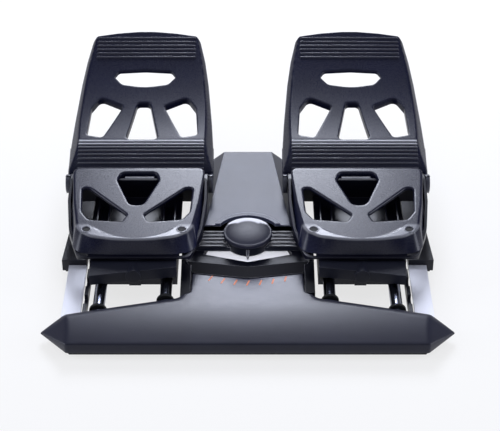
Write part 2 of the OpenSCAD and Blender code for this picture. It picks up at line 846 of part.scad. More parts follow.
// The nose reaches over the tubes and the bumpers, its front in line with the footplate
module carriage_nose() {
  difference() {
    union() {
      difference() {
        translate([0, 0, nose_bottom]) linear_extrude(nose_top - nose_bottom) polygon([
          [-carriage_half, carriage_front_y + over],
          [carriage_half, carriage_front_y + over],
          [carriage_half, carriage_front_y - nose_out_l],
          [-carriage_half, carriage_front_y - nose_in_l]
        ]);
        above([0, carriage_front_y, nose_top], [far, carriage_front_y, nose_top],
          [0, carriage_front_y - nose_out_l, nose_front_top]);
      }
      rod_y(0, carriage_front_y - nose_boss_l, nose_boss_z, nose_boss_r, nose_boss_l + over);
    }
    for (k = [-1, 1]) rod_y(k * tube_gap / 2, carriage_front_y - far, tube_z, bumper_r + gap, far);
  }
}

module bushings(side) {
  color("#c8b98a") at_pedal(side) for (k = [-1, 1]) for (y = [carriage_front_y, carriage_rear_y - bushing_l])
    difference() {
      rod_y(k * tube_gap / 2, y, tube_z, bushing_r, bushing_l);
      rod_y(k * tube_gap / 2, y - over, tube_z, tube_r + tube_clear, bushing_l + over * 2);
    }
}

module drive_pin(side) {
  color("#b4b7bf") at_pedal(side) translate([pin_x, pivot_y, pin_z]) cylinder(h = pin_top - pin_z, r = pin_d / 2);
}

// Pedal body
inner_rib_share = [-0.56, -0.4, 0.38, 0.54]; // places of the ribs on the body's floor, of its half width
inner_rib_y = pivot_y + 2;
inner_rib_l = 40;
inner_rib_t = 1.4;
inner_rib_h = 11;
function body_plan(inset) = rounded(both_halves([
  [body_half - body_front_in - inset, body_front_y + inset],
  [body_half - body_waist_in - inset, body_front_y + body_waist_l],
  [body_half - inset, body_front_y + body_side_l],
  [body_half - inset, body_rear_y - inset]
]), mirrored([body_front_r, body_side_r, body_side_r, body_rear_r]));
module pedal_body(side) {
  color("#23252e") at_pedal(side) {
    difference() {
      union() {
        difference() {
          translate([0, 0, body_z]) linear_extrude(heel_top(body_rear_y) - body_z) polygon(body_plan(0));
          translate([0, 0, body_z - over]) linear_extrude(far) polygon(body_plan(body_wall));
        }
        translate([-carriage_half - body_wall, body_front_y + over, tower_top])
          cube([carriage_half * 2 + body_wall * 2, body_rear_y - body_front_y - over * 2, body_floor_t]);
        for (s = [-1, 1]) on_side(s)
          translate([body_half - lug_t, body_rear_y - over, axle_z]) {
            rotate([0, 90, 0]) translate([0, axle_y - body_rear_y + over, 0]) cylinder(h = lug_t, r = ear_r - lug_in);
            translate([0, 0, lug_in - ear_r]) cube([lug_t, axle_y - body_rear_y + over, (ear_r - lug_in) * 2]);
          }
        for (s = [-1, 1]) translate([s * screw_x, screw_y, tower_top])
          cylinder(h = heel_top(screw_y) - plate_t - gap - tower_top, r = screw_r + post_wall);
        for (x = inner_rib_share) translate([x * body_half, inner_rib_y, tower_top])
          cube([inner_rib_t, inner_rib_l, inner_rib_h]);
      }
      // The rim rises from the lip at the front to the heel plate's underside at the back
      intersection() {
        above([0, apron_rear_y, lip_z - gap], [far, apron_rear_y, lip_z - gap],
          [0, body_rear_y, heel_top(body_rear_y) - plate_t - gap]);
        difference() {
          translate([-far, -far, lip_z - gap]) cube([far * 2, far * 2, far]);
          for (s = [-1, 1]) translate([s * screw_x, screw_y, 0])
            cylinder(h = heel_top(screw_y) - plate_t - gap, r = screw_r + post_wall);
        }
      }
      // Bevel along the lower edge, clear of the base
      mirror([0, 0, 1]) above([0, body_front_y, -body_z - front_bevel_h], [far, body_front_y, -body_z - front_bevel_h],
        [0, body_front_y + front_bevel_l, -body_z]);
      for (s = [-1, 1]) mirror([0, 0, 1])
        above([s * (body_half - body_bevel), 0, -body_z], [s * (body_half - body_bevel), far, -body_z],
          [s * body_half, 0, -body_z - body_bevel]);
      bar_x(far, axle_y, axle_z, axle_r + axle_play);
      for (s = [-1, 1]) translate([s * screw_x, screw_y, tower_top + over])
        cylinder(h = far, r = screw_r);
      // The cast front tower stands inside the skirt
      translate([-carriage_half - gap, carriage_front_y - boss_t - gap, 0])
        cube([carriage_half * 2 + gap * 2, carriage_rear_y - carriage_front_y + gap, tower_top]);
    }
  }
}

// Heel plate: a sloped top, a heel stop around its front end and a skirt inside the body's rim
hole_r = 3.2;
hole_tight_r = 2.5;
hole_wide_r = 6;
shield_r = 7;
stop_rise = 0.4; // the heel stop's flat top stands this much above the screws' height
stop_top = heel_h + stop_rise;
cup_r = 52.7; // the heel's cup, cut into the stop
cup_y = heel_front_y + stop_draft + cup_r;
// Half widths of the top and places behind its front edge
top_half = [[20, 0.9], [40, 5.2], [48.5, 12.2], [53.1, 19.2], [63.6, 95]];
top_front_y = heel_front_y + stop_draft;
// Half widths of the foot outline under each sloped side, and places behind its front edge
foot_half = [[38, 0.6], [51.5, 3.5], [56, 13], [60, 40]];
heel_hollow_half = [[40, 8.2], [49, 15.6], [50.4, 24.2], [53.4, 47.2], [56.8, 71.2], [56.8, 94.2]];
skirt_rear_y = body_rear_y - body_wall - gap;
heel_corner_half = 63.6;
heel_rear_cut = 6;
// Shares of the heel plate's half width, and of its length from the front edge
shield_hole_share = [[0.099, 0.496], [0.315, 0.828], [0.266, 0.931]];
side_hole_share = [[0.83, 0.722], [0.72, 0.722], [0.125, 0.37], [0.191, 0.278], [0.687, 0.307], [0.792, 0.405]];
function on_heel(points) = [for (p = points)
  [p.x * heel_corner_half, share(p.y, heel_front_y, heel_rear_y)]];
// A point of the top edge and one of the foot outline
function top_at(p) = [p.x, top_front_y + p.y, max(stop_top, heel_top(top_front_y + p.y))];
function foot_at(p) = [p.x, heel_front_y + p.y, lip_z];
module heel_sides() {
  above([0, top_front_y, stop_top], top_at(top_half[0]), foot_at([0, 0]));
  for (s = [-1, 1]) on_side(s)
    for (i = [0:len(top_half) - 2])
      above(top_at(top_half[i]), top_at(top_half[i + 1]), foot_at(foot_half[i]));
}
module heel_plate(side) {
  color("#34363f") at_pedal(side) difference() {
    union() {
      // The skirt, inside the rim
      translate([0, 0, lip_z]) linear_extrude(far) intersection() {
        polygon(body_plan(body_wall + gap));
        translate([-far, -far]) square([far * 2, far + skirt_rear_y]);
      }
      // The top reaches back over the hinge
      translate([0, 0, lip_z]) linear_extrude(far) polygon(both_halves([
        [heel_corner_half, skirt_rear_y],
        [heel_corner_half, heel_rear_y - heel_rear_cut],
        [heel_corner_half - heel_rear_cut, heel_rear_y]
      ]));
    }
    heel_sides();
    // Above the slope only the heel stop stands, with the cup cut out of it
    intersection() {
      above([0, screw_y, heel_h], [far, screw_y, heel_h], [0, heel_rear_y, heel_top(heel_rear_y)]);
      union() {
        translate([0, cup_y, 0]) cylinder(h = far, r = cup_r, $fn = 96);
        translate([-far, -far, stop_top]) cube([far * 2, far * 2, far]);
      }
    }
    // Hollow underneath, open at the back
    difference() {
      mirror([0, 0, 1]) above([0, screw_y, plate_t - heel_h], [far, screw_y, plate_t - heel_h],
        [0, heel_rear_y, plate_t - heel_top(heel_rear_y)]);
      linear_extrude(far) difference() {
        translate([-far, -far]) square([far * 2, far + skirt_rear_y]);
        polygon(both_halves([for (p = heel_hollow_half) [p.x, heel_front_y + p.y]]));
      }
    }
    linear_extrude(far) polygon(rounded(both_halves(on_heel(shield_hole_share)), mirrored([shield_r, shield_r, hole_wide_r])));
    for (s = [-1, 1]) on_side(s) linear_extrude(far)
      polygon(rounded(on_heel(side_hole_share), [hole_r, hole_wide_r, hole_tight_r, hole_tight_r, hole_wide_r, hole_wide_r]));
    for (s = [-1, 1]) translate([s * screw_x, screw_y, 0]) {
      cylinder(h = far, r = screw_r + screw_play);
      translate([0, 0, heel_h - screw_sink]) cylinder(h = far, r = screw_head_r + gap);
    }
  }
}

module heel_screws(side) {
  color("#15161a") at_pedal(side) for (s = [-1, 1]) translate([s * screw_x, screw_y, 0]) {
    translate([0, 0, heel_h - screw_sink]) cylinder(h = screw_cap_h, r = screw_head_r);
    translate([0, 0, tower_top + body_floor_t])
      cylinder(h = heel_h - screw_sink - tower_top - body_floor_t, r = screw_r);
  }
}

// Toe plate
hollow_cy = hollow_y - toe_hollow_r * sin(hollow_start);
hollow_cz = hollow_z + toe_hollow_r * cos(hollow_start);
function hollow_height(y) = hollow_cz - sqrt(pow(toe_hollow_r, 2) - pow(y - hollow_cy, 2));
roll_slope = asin((roll_end_y - hollow_cy) / toe_hollow_r);
roll_cy = roll_end_y + roll_r * sin(roll_slope);
roll_cz = hollow_height(roll_end_y) - roll_r * cos(roll_slope);
function roll_height(y) = roll_cz + sqrt(pow(roll_r, 2) - pow(y - roll_cy, 2));
function toe_height(y) = y < roll_end_y ? roll_height(y) : hollow_height(y);
roll_steps = 8;
hollow_steps = 14;
toe_surface_ys = concat(
  [for (i = [0:roll_steps - 1]) share(i / roll_steps, roll_front_y, roll_end_y)],
  [for (i = [0:hollow_steps]) share(i / hollow_steps, roll_end_y, toe_apex_y)]
);
// Side view, as points of depth and height
function toe_side(drop) = concat(
  [for (y = toe_surface_ys) [y, toe_height(y) - drop]],
  [[toe_apex_y, toe_height(toe_apex_y) - toe_end_depth],
    [roll_end_y, toe_height(roll_end_y) - toe_mid_depth],
    [roll_front_y, toe_height(roll_front_y) - toe_front_depth]]
);
toe_out_half = body_half + ear_gap + ear_t;
// The plate's sides, as shares of its length behind the roll and the width that they draw in there
toe_side_share = [[0, 0.03], [0.2, 0.13], [0.58, 0.4], [0.79, 0.65], [0.958, 1]];
toe_draw_in = 15.5;
toe_plan_half = concat(
  [[toe_out_half, roll_front_y]],
  [for (p = toe_side_share) [toe_out_half - toe_draw_in * p.y, share(p.x, roll_end_y, toe_apex_y)]]
);
toe_end_steps = 6;
function toe_plan(inset) = concat(
  [for (p = toe_plan_half) [p.x - inset, min(p.y, toe_apex_y - inset)]],
  [for (i = [1:toe_end_steps - 1])
    let (t = i / toe_end_steps, last = toe_plan_half[len(toe_plan_half) - 1])
    [share(t, last.x - inset, 0), share(1 - pow(1 - t, 2), last.y, toe_apex_y) - inset]],
  [[0, toe_apex_y - inset]]
);
function closed_plan(half) = concat(half, [for (i = [len(half) - 2:-1:0]) [-half[i].x, half[i].y]]);
toe_tip_r = 2;
toe_slot_r = 60;
toe_slot_corner_r = 4;
toe_slot_low_r = 8;
toe_hole_mid_r = 4;
toe_hole_side_r = [6, 5, 3.5, 4, 3];
// Shares of the toe plate's half width, and of its length behind the roll
toe_slot_share = [
  [0.443, 0.608], [0.379, 0.658], [0, 0.67], [-0.379, 0.658], [-0.443, 0.608], [-0.331, 0.537], [0, 0.508], [0.331, 0.537]
];
toe_hole_mid_share = [[0.088, 0.363], [0.226, -0.017], [-0.226, -0.017], [-0.088, 0.363]];
toe_hole_side_share = [[0.615, 0.415], [0.74, 0.305], [0.775, 0.03], [0.548, 0.002], [0.287, 0.328]];
function on_toe(points) = [for (p = points)
  [p.x * toe_out_half, share(p.y, roll_end_y, toe_apex_y)]];

module toe_profile(drop, half) {
  translate([-half, 0, 0]) rotate([90, 0, 90]) linear_extrude(half * 2) polygon(toe_side(drop));
}

module toe_rib(y, half) {
  slope = atan((toe_height(y + over) - toe_height(y - over)) / (over * 2));
  translate([-half, y, toe_height(y)]) rotate([slope, 0, 0])
    translate([0, -rib_w / 2, -rib_w]) cube([half * 2, rib_w, rib_w + rib_rise]);
}

// A layer under the foot surface
module toe_layer(from, to) {
  translate([-far / 4, 0, 0]) rotate([90, 0, 90]) linear_extrude(far / 2) polygon(concat(
    [for (y = toe_surface_ys) [y, toe_height(y) - from]],
    [for (i = [len(toe_surface_ys) - 1:-1:0]) [toe_surface_ys[i], toe_height(toe_surface_ys[i]) - to]]
  ));
}

module collar(outline, r) {
  intersection() {
    toe_layer(toe_wall / 2, collar_depth);
    linear_extrude(far) polygon(rounded(grown(outline, collar_wall), r));
  }
}

module toe_plate(side) {
  color("#2b2d37") at_pedal(side) difference() {
    union() {
      difference() {
        intersection() {
          toe_profile(0, far / 4);
          linear_extrude(far) polygon(closed_plan(toe_plan(0)));
        }
        toe_shoulders();
        // Hollow from below, which leaves the skin whole under the shoulders
        translate([0, 0, -toe_wall]) difference() {
          intersection() {
            translate([0, 0, -far / 8]) toe_hollow();
            linear_extrude(far) polygon(closed_plan(toe_plan(toe_wall)));
          }
          toe_shoulders();
        }
      }
      // Collars round the holes
      collar(on_toe(toe_hole_mid_share), toe_hole_mid_r + collar_wall);
      for (s = [-1, 1]) on_side(s)
        collar(on_toe(toe_hole_side_share), [for (r = toe_hole_side_r) r + collar_wall]);
      for (k = [0:roll_ribs - 1])
        toe_rib(share((k + 0.7) / roll_ribs, roll_front_y, roll_end_y - rib_pitch), toe_top_half_near - rib_margin);
      for (k = [0:toe_ribs - 1])
        toe_rib(toe_far_y - rib_pitch * (k + 0.6), toe_top_half_far - rib_margin);
      for (s = [-1, 1]) on_side(s) toe_ear();
    }
    linear_extrude(far) polygon(rounded(on_toe(toe_slot_share), [toe_tip_r, toe_slot_corner_r, toe_slot_r,
      toe_slot_corner_r, toe_tip_r, toe_slot_low_r, toe_slot_r, toe_slot_low_r]));
    linear_extrude(far) polygon(rounded(on_toe(toe_hole_mid_share), toe_hole_mid_r));
    for (s = [-1, 1]) on_side(s) linear_extrude(far) polygon(rounded(on_toe(toe_hole_side_share), toe_hole_side_r));
    bar_x(far, axle_y, axle_z, toe_bush_r);
  }
}

// What the sloped shoulders cut off down both sides
module toe_shoulders() {
  for (s = [-1, 1])
    above([s * toe_top_half_near, roll_end_y, toe_height(roll_end_y)],
      [s * toe_top_half_far, toe_far_y, toe_height(toe_far_y)],
      [s * (toe_top_half_near + toe_shoulder), roll_end_y, toe_height(roll_end_y) - toe_side_drop]);
}

// The space under the toe plate's skin
module toe_hollow() {
  translate([-far / 4, 0, 0]) rotate([90, 0, 90]) linear_extrude(far / 2) polygon(concat(
    [for (y = toe_surface_ys) [y, toe_height(y) + far / 8]],
    [[toe_apex_y, 0], [roll_front_y, 0]]
  ));
}

module toe_ear() {
  translate([body_half + ear_gap, 0, 0]) rotate([90, 0, 90]) linear_extrude(ear_t) polygon(concat(
    [for (k = [0:8]) [axle_y - ear_r * sin(20 * k), axle_z + ear_r * cos(20 * k)]],
    [[roll_front_y + ear_run, toe_height(roll_front_y) - toe_front_depth],
      [roll_end_y, toe_height(roll_end_y) - toe_mid_depth],
      [roll_end_y, toe_height(roll_end_y) - toe_side_drop],
      [roll_front_y, toe_height(roll_front_y) - rib_rise]]
  ));
}

module toe_bushings(side) {
  color("#c8b98a") at_pedal(side) for (s = [-1, 1]) on_side(s) difference() {
    translate([body_half + ear_gap, axle_y, axle_z]) rotate([0, 90, 0]) cylinder(h = ear_t, r = toe_bush_r);
    bar_x(far, axle_y, axle_z, axle_r + axle_play);
  }
}

module toe_axle(side) {
  color("#b4b7bf") at_pedal(side) bar_x(body_half + ear_gap + ear_t, axle_y, axle_z, axle_r);
}

toe_spring_wall = 2.8;
toe_spring_play = 0.6;
spring_coil_r = axle_r + toe_spring_play + toe_spring_wall;
spring_half = 14;
module toe_spring(side) {
  color("#9a9da5") at_pedal(side) difference() {
    bar_x(spring_half, axle_y, axle_z, spring_coil_r);
    bar_x(spring_half + over, axle_y, axle_z, axle_r + toe_spring_play);
  }
}

sensor_w = 9;
sensor_half = 7.5;
module toe_sensor(side) {
  color("#2a4a86") at_pedal(side) difference() {
    translate([body_half - lug_t - sensor_w - gap, axle_y - sensor_half, axle_z - sensor_half])
      cube([sensor_w, sensor_half * 2, sensor_half * 2]);
    bar_x(far, axle_y, axle_z, axle_r + gap);
  }
}

base_tray();
front_plate();
rear_plate();
side_strip(-1);  // side_strip_left
side_strip(1);  // side_strip_right
guide_rail(-1);  // guide_rail_left
guide_rail(1);  // guide_rail_right
rail_tube(-1, 1);  // tube_left_outer
rail_tube(-1, -1);  // tube_left_inner
rail_tube(1, -1);  // tube_right_inner
rail_tube(1, 1);  // tube_right_outer
rail_bumpers();
centre_cover();
dial_bridge();
dial_plate();
pivot_housing();
rudder_sensor();
centring_spring();
circuit_board();
cable_gland();
rubber_feet();
base_screws();
swing_lever();
pivot_shaft();
hub_cap();
needle();
carriage(-1);  // carriage_left
carriage(1);  // carriage_right
bushings(-1);  // bushings_left
bushings(1);  // bushings_right
drive_pin(-1);  // drive_pin_left
drive_pin(1);  // drive_pin_right
pedal_body(-1);  // pedal_body_left
pedal_body(1);  // pedal_body_right
heel_plate(-1);  // heel_plate_left
heel_plate(1);  // heel_plate_right
heel_screws(-1);  // heel_screws_left
heel_screws(1);  // heel_screws_right
toe_axle(-1);  // toe_axle_left
toe_axle(1);  // toe_axle_right
toe_spring(-1);  // toe_spring_left
toe_spring(1);  // toe_spring_right
toe_sensor(-1);  // toe_sensor_left
toe_sensor(1);  // toe_sensor_right
toe_plate(-1);  // toe_plate_left
toe_plate(1);  // toe_plate_right
toe_bushings(-1);  // toe_bushings_left
toe_bushings(1);  // toe_bushings_right
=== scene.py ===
# %% [markdown]
# Flight simulator rudder pedals
#
# The pedals stand on the floor in front of a seated user. Two pedals slide on tubes and are
# tied by a swing lever under the round cap, and each carries a toe plate on a hinge. The
# solid parts come from the construction model; this file gives them their finishes, and
# models anew the moulded shells whose soft edges and curves make the highlights.

import json
from math import asin, cos, pi, radians, sin, tan

import bpy
import numpy as np
from mathutils.geometry import delaunay_2d_cdt
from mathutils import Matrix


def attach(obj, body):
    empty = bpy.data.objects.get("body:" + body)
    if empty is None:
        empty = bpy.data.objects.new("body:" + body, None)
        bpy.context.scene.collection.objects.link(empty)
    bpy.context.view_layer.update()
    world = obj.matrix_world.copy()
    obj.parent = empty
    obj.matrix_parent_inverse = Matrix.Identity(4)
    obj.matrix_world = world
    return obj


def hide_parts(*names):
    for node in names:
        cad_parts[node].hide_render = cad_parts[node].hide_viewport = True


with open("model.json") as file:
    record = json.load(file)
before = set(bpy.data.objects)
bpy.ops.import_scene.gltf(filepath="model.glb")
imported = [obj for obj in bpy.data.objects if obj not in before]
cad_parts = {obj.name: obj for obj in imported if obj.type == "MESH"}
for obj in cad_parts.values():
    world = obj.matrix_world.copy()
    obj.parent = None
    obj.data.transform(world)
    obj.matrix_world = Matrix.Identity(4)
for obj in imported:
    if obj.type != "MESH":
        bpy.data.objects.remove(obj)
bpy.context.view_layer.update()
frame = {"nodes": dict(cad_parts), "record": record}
nodes = frame["nodes"]

# %% [markdown]
# Sizes are easiest to compare with the real object in millimetres, and Blender counts in
# metres, so one small factor turns the first into the second.

# %% Units and colours
MM = 0.001


def linear(hex_colour):
    """Turns an sRGB hex colour into linear RGBA: a share below 0.04045 is divided by 12.92,
    and any other is ((share + 0.055) / 1.055) to the power 2.4."""
    share = np.array([int(hex_colour[i:i + 2], 16) for i in (1, 3, 5)]) / 255
    low = share / 12.92
    high = ((share + 0.055) / 1.055) ** 2.4
    return (*np.where(share <= 0.04045, low, high).tolist(), 1.0)


# %% [markdown]
# The photograph looks down on the pedals from the front with a long lens. The camera stands
# 1.23 m in front of the base's middle and 0.88 m above the floor, and looks 35 degrees down.

# %% Camera
LENS_MM, SENSOR_MM = 111.02, 36
CAMERA_PLACE, CAMERA_DOWN = (0.0021, -1.23375, 0.8836), 35

camera_data = bpy.data.cameras.new("camera")
camera_data.lens = LENS_MM
camera_data.sensor_width = SENSOR_MM
camera = bpy.data.objects.new("camera", camera_data)
camera.location = CAMERA_PLACE
camera.rotation_euler = (radians(90 - CAMERA_DOWN), 0, 0)
bpy.context.scene.collection.objects.link(camera)
bpy.context.scene.camera = camera
print("camera at", [round(v, 3) for v in camera.location])

# %% [markdown]
# A material is a small tree of nodes. One function adds a node with its settings and joins
# it to the nodes that feed it, so that each finish below reads as a short list of steps.


# %% A node with its settings
def add_node(tree, kind, inputs=None, **settings):
    """Adds a node of a kind. An input's value is a plain value, the output that feeds it, or a
    node that feeds it with its first output."""
    node = tree.nodes.new(kind)
    for name, value in settings.items():
        setattr(node, name, value)
    for name, value in (inputs or {}).items():
        source = value.outputs[0] if isinstance(value, bpy.types.Node) else value
        if isinstance(source, bpy.types.NodeSocket):
            tree.links.new(source, node.inputs[name])
        else:
            node.inputs[name].default_value = source
    return node


def new_material(name):
    """An empty material, ready for a shader, and its tree."""
    material = bpy.data.materials.new(name)
    material.use_nodes = True
    material.node_tree.nodes.clear()
    return material, material.node_tree


print("node tools ready")

# %% [markdown]
# The room is a plain studio with a pale floor. Its walls are white where they meet the
# floor, and darker above, so that dark plastic stays dark. That white shows to the camera
# and in reflections, and doesn't light the pedals.

# %% Studio
FLOOR_HALF = 9.0
WHITE = (1, 1, 1, 1)
# The walls go from the first brightness to the second between these heights
WALL_FADE, WALL_LEVELS = (0.05, 0.34), (1.0, 0.2)
SOFT_COLOUR, SOFT_LEVEL = "#eceef8", 0.22
FLOOR_COLOUR, FLOOR_GLOW = "#f7f7f8", 0.74


def seen_directly(tree):
    """1 for a ray that the camera, a gloss or a clear surface sends out, and 0 for the rest."""
    path = add_node(tree, "ShaderNodeLightPath").outputs
    first = add_node(tree, "ShaderNodeMath",
                     {0: path["Is Camera Ray"], 1: path["Is Glossy Ray"]}, operation="MAXIMUM")
    return add_node(tree, "ShaderNodeMath",
                    {0: first, 1: path["Is Transmission Ray"]}, operation="MAXIMUM")


def make_sky():
    """White at the horizon, and darker from 3 to 20 degrees above it. Matt surfaces see an even
    soft light."""
    world = bpy.data.worlds.new("studio sky")
    bpy.context.scene.world = world
    world.use_nodes = True
    tree = world.node_tree
    tree.nodes.clear()
    way = add_node(tree, "ShaderNodeTexCoord").outputs["Generated"]
    height = add_node(tree, "ShaderNodeSeparateXYZ", {0: way}).outputs["Z"]
    level = add_node(tree, "ShaderNodeMapRange",
                     {"Value": height, "From Min": WALL_FADE[0], "From Max": WALL_FADE[1],
                      "To Min": WALL_LEVELS[0], "To Max": WALL_LEVELS[1]})
    wall = add_node(tree, "ShaderNodeBackground", {"Color": WHITE, "Strength": level})
    soft = add_node(tree, "ShaderNodeBackground",
                    {"Color": linear(SOFT_COLOUR), "Strength": SOFT_LEVEL})
    mix = add_node(tree, "ShaderNodeMixShader", {0: seen_directly(tree), 1: soft, 2: wall})
    add_node(tree, "ShaderNodeOutputWorld", {"Surface": mix})


def make_floor():
    """A pale floor that is nearly white to the eye and keeps the shadow."""
    mesh = bpy.data.meshes.new("floor")
    corners = [(x * FLOOR_HALF, y * FLOOR_HALF, 0) for x, y in ((-1, -1), (1, -1), (1, 1), (-1, 1))]
    mesh.from_pydata(corners, [], [(0, 1, 2, 3)])
    floor = bpy.data.objects.new("floor", mesh)
    bpy.context.scene.collection.objects.link(floor)
    material, tree = new_material("white painted floor")
    paint = add_node(tree, "ShaderNodeBsdfDiffuse", {"Color": linear(FLOOR_COLOUR)})
    glow = add_node(tree, "ShaderNodeEmission", {"Color": WHITE, "Strength": 1.0})
    share = add_node(tree, "ShaderNodeMath", {0: seen_directly(tree), 1: FLOOR_GLOW},
                     operation="MULTIPLY")
    mix = add_node(tree, "ShaderNodeMixShader", {0: share, 1: paint, 2: glow})
    add_node(tree, "ShaderNodeOutputMaterial", {"Surface": mix})
    mesh.materials.append(material)


make_sky()
make_floor()
print("floor", 2 * FLOOR_HALF, "m wide")

# %% [markdown]
# Three soft, cool lamps stand behind the pedals, and the surfaces that lie nearly flat mirror
# them. One hangs above, two at the sides draw the highlights on the plates' edges, and a
# narrow spot from the front lights the silver dial.

# %% Lamps
COOL = (0.84, 0.88, 1.0)
# Each lamp's name, place, the point that it looks at, width, depth and power in watts
LAMPS = (("lamp behind and above", (0.0, 1.05, 1.25), (0, 0, 0), 0.6, 0.4, 6.8),
         ("lamp behind", (0.0, 1.10, 0.90), (0, -0.13, 0), 0.45, 0.28, 11),
         ("lamp low behind", (0.0, 1.30, 0.74), (0, 0.1, 0), 0.3, 0.16, 5),
         ("lamp above", (0.0, -0.35, 1.9), (0, 0, 0), 1.6, 1.0, 3),
         ("lamp left", (-1.3, -0.15, 0.5), (0, 0, 0.05), 0.35, 0.9, 7),
         ("lamp right", (1.3, -0.15, 0.5), (0, 0, 0.05), 0.35, 0.9, 7))
SPOT_PLACE, SPOT_AIM = (0, -1.05, 0.90), (0, -0.080, 0.025)
SPOT_POWER, SPOT_CONE, SPOT_BLEND, SPOT_RADIUS = 85, radians(6.2), 0.8, 0.02


def hang(data, place, aim):
    """Puts a lamp in its place and turns it to the point."""
    lamp = bpy.data.objects.new(data.name, data)
    lamp.location = place
    way = np.array(aim) - np.array(place)
    lamp.rotation_euler = (np.arctan2(np.hypot(way[0], way[1]), -way[2]), 0,
                           np.arctan2(-way[0], way[1]))
    bpy.context.scene.collection.objects.link(lamp)


def add_lamp(name, place, aim, width, depth, power):
    """A rectangular soft lamp that looks from its place to a point."""
    data = bpy.data.lights.new(name, "AREA")
    data.shape = "RECTANGLE"
    data.size, data.size_y = width, depth
    data.energy, data.color = power, COOL
    hang(data, place, aim)


def add_spot():
    """A narrow spot that looks at the dial from just in front of the camera."""
    data = bpy.data.lights.new("spot on the dial", "SPOT")
    data.energy, data.shadow_soft_size = SPOT_POWER, SPOT_RADIUS
    data.spot_size, data.spot_blend = SPOT_CONE, SPOT_BLEND
    hang(data, SPOT_PLACE, SPOT_AIM)


for settings in LAMPS:
    add_lamp(*settings)
add_spot()
print("lamps", len(LAMPS) + 1)
bpy.context.scene.view_settings.view_transform = "Standard"

# %% [markdown]
# Nearly every piece is injection moulded ABS with a fine spark-eroded grain. It scatters
# light softly, and a lighter edge tone paints a highlight along its edges. The grain is drawn
# five to seven times as coarse as the real 0.1 mm, so that it shows. The edge tone compares
# the true normal with one that a bevel rounds off: where they differ there is an edge, and
# there the colour is mixed towards a lighter one. The footplate and the cover are brushed as
# well: their grain is drawn out along X. The shells below also carry an attribute that paints
# highlights: a share of a pale colour at each point, on the ribs, the heel stop and the rear
# of the cap's rim, where it paints a reflection.

# %% Moulded plastic
# Nearly all of a noise lies between these values
NOISE_RANGE = {"From Min": 0.3, "From Max": 0.7}
CLOUD_MM, CLOUD_LEVELS = 35, {"To Min": 0.9, "To Max": 1.1}
# The likeness of the two normals at which the edge tone, a painted highlight, begins, and at which
# it is full
EDGE_LIKENESS = {"From Min": 0.995, "From Max": 0.80}
BEVEL_SAMPLES, GRAIN_DEPTH_MM = 6, 0.2
PLASTIC_SMOOTHER, PLASTIC_ROUGHER, PLASTIC_IOR = 0.04, 0.06, 1.5
# Places of the sockets for colours in a mix node
MIX_FIRST, MIX_SECOND, MIX_RESULT = 6, 7, 2


def moulded(name, colour, edge, rough, grain_mm=0.7, grain_bump=0.1, edge_mm=0.7, specular=0.3,
            stretch=(1, 1, 1), highlight_colour=None):
    """Moulded plastic: base colour with a faint cloud, a lighter edge colour that paints a
    highlight along the edges, a fine grain, and a pale colour that paints a highlight where the
    shell's attribute asks for it."""
    material, tree = new_material(name)
    place = add_node(tree, "ShaderNodeTexCoord").outputs["Object"]
    cloud = add_node(tree, "ShaderNodeTexNoise",
                     {"Vector": place, "Scale": 1 / (CLOUD_MM * MM), "Detail": 3.0})
    tone = add_node(tree, "ShaderNodeMapRange", {"Value": cloud, **NOISE_RANGE, **CLOUD_LEVELS})
    tinted = add_node(tree, "ShaderNodeVectorMath", {0: linear(colour)[:3], "Scale": tone},
                      operation="SCALE")
    softened = add_node(tree, "ShaderNodeBevel", {"Radius": edge_mm * MM}, samples=BEVEL_SAMPLES)
    true = add_node(tree, "ShaderNodeNewGeometry").outputs["Normal"]
    likeness = add_node(tree, "ShaderNodeVectorMath", {0: softened, 1: true},
                        operation="DOT_PRODUCT").outputs["Value"]
    # Painted highlight: where the normals differ, the colour turns towards the lighter edge colour
    edge_highlight = add_node(tree, "ShaderNodeMapRange",
                   {"Value": likeness, **EDGE_LIKENESS, "To Min": 0.0, "To Max": 1.0})
    shade = add_node(tree, "ShaderNodeMix",
                     {"Factor": edge_highlight, MIX_FIRST: tinted, MIX_SECOND: linear(edge)},
                     data_type="RGBA").outputs[MIX_RESULT]
    # Painted highlight: the shell's attribute mixes in a pale colour
    if highlight_colour:
        highlight_share = add_node(tree, "ShaderNodeAttribute", attribute_name="painted_highlight").outputs["Fac"]
        shade = add_node(tree, "ShaderNodeMix",
                         {"Factor": highlight_share, MIX_FIRST: shade, MIX_SECOND: linear(highlight_colour)},
                         data_type="RGBA").outputs[MIX_RESULT]
    drawn = add_node(tree, "ShaderNodeMapping", {"Vector": place, "Scale": stretch})
    grain = add_node(tree, "ShaderNodeTexNoise",
                     {"Vector": drawn, "Scale": 1 / (grain_mm * MM), "Detail": 2.0})
    bump = add_node(tree, "ShaderNodeBump",
                    {"Strength": grain_bump, "Distance": GRAIN_DEPTH_MM * MM, "Height": grain,
                     "Normal": softened})
    gloss = add_node(tree, "ShaderNodeMapRange",
                     {"Value": grain, **NOISE_RANGE,
                      "To Min": rough - PLASTIC_SMOOTHER, "To Max": rough + PLASTIC_ROUGHER})
    shader = add_node(tree, "ShaderNodeBsdfPrincipled",
                      {"Base Color": shade, "Roughness": gloss, "IOR": PLASTIC_IOR,
                       "Specular IOR Level": specular, "Normal": bump})
    add_node(tree, "ShaderNodeOutputMaterial", {"Surface": shader})
    return material


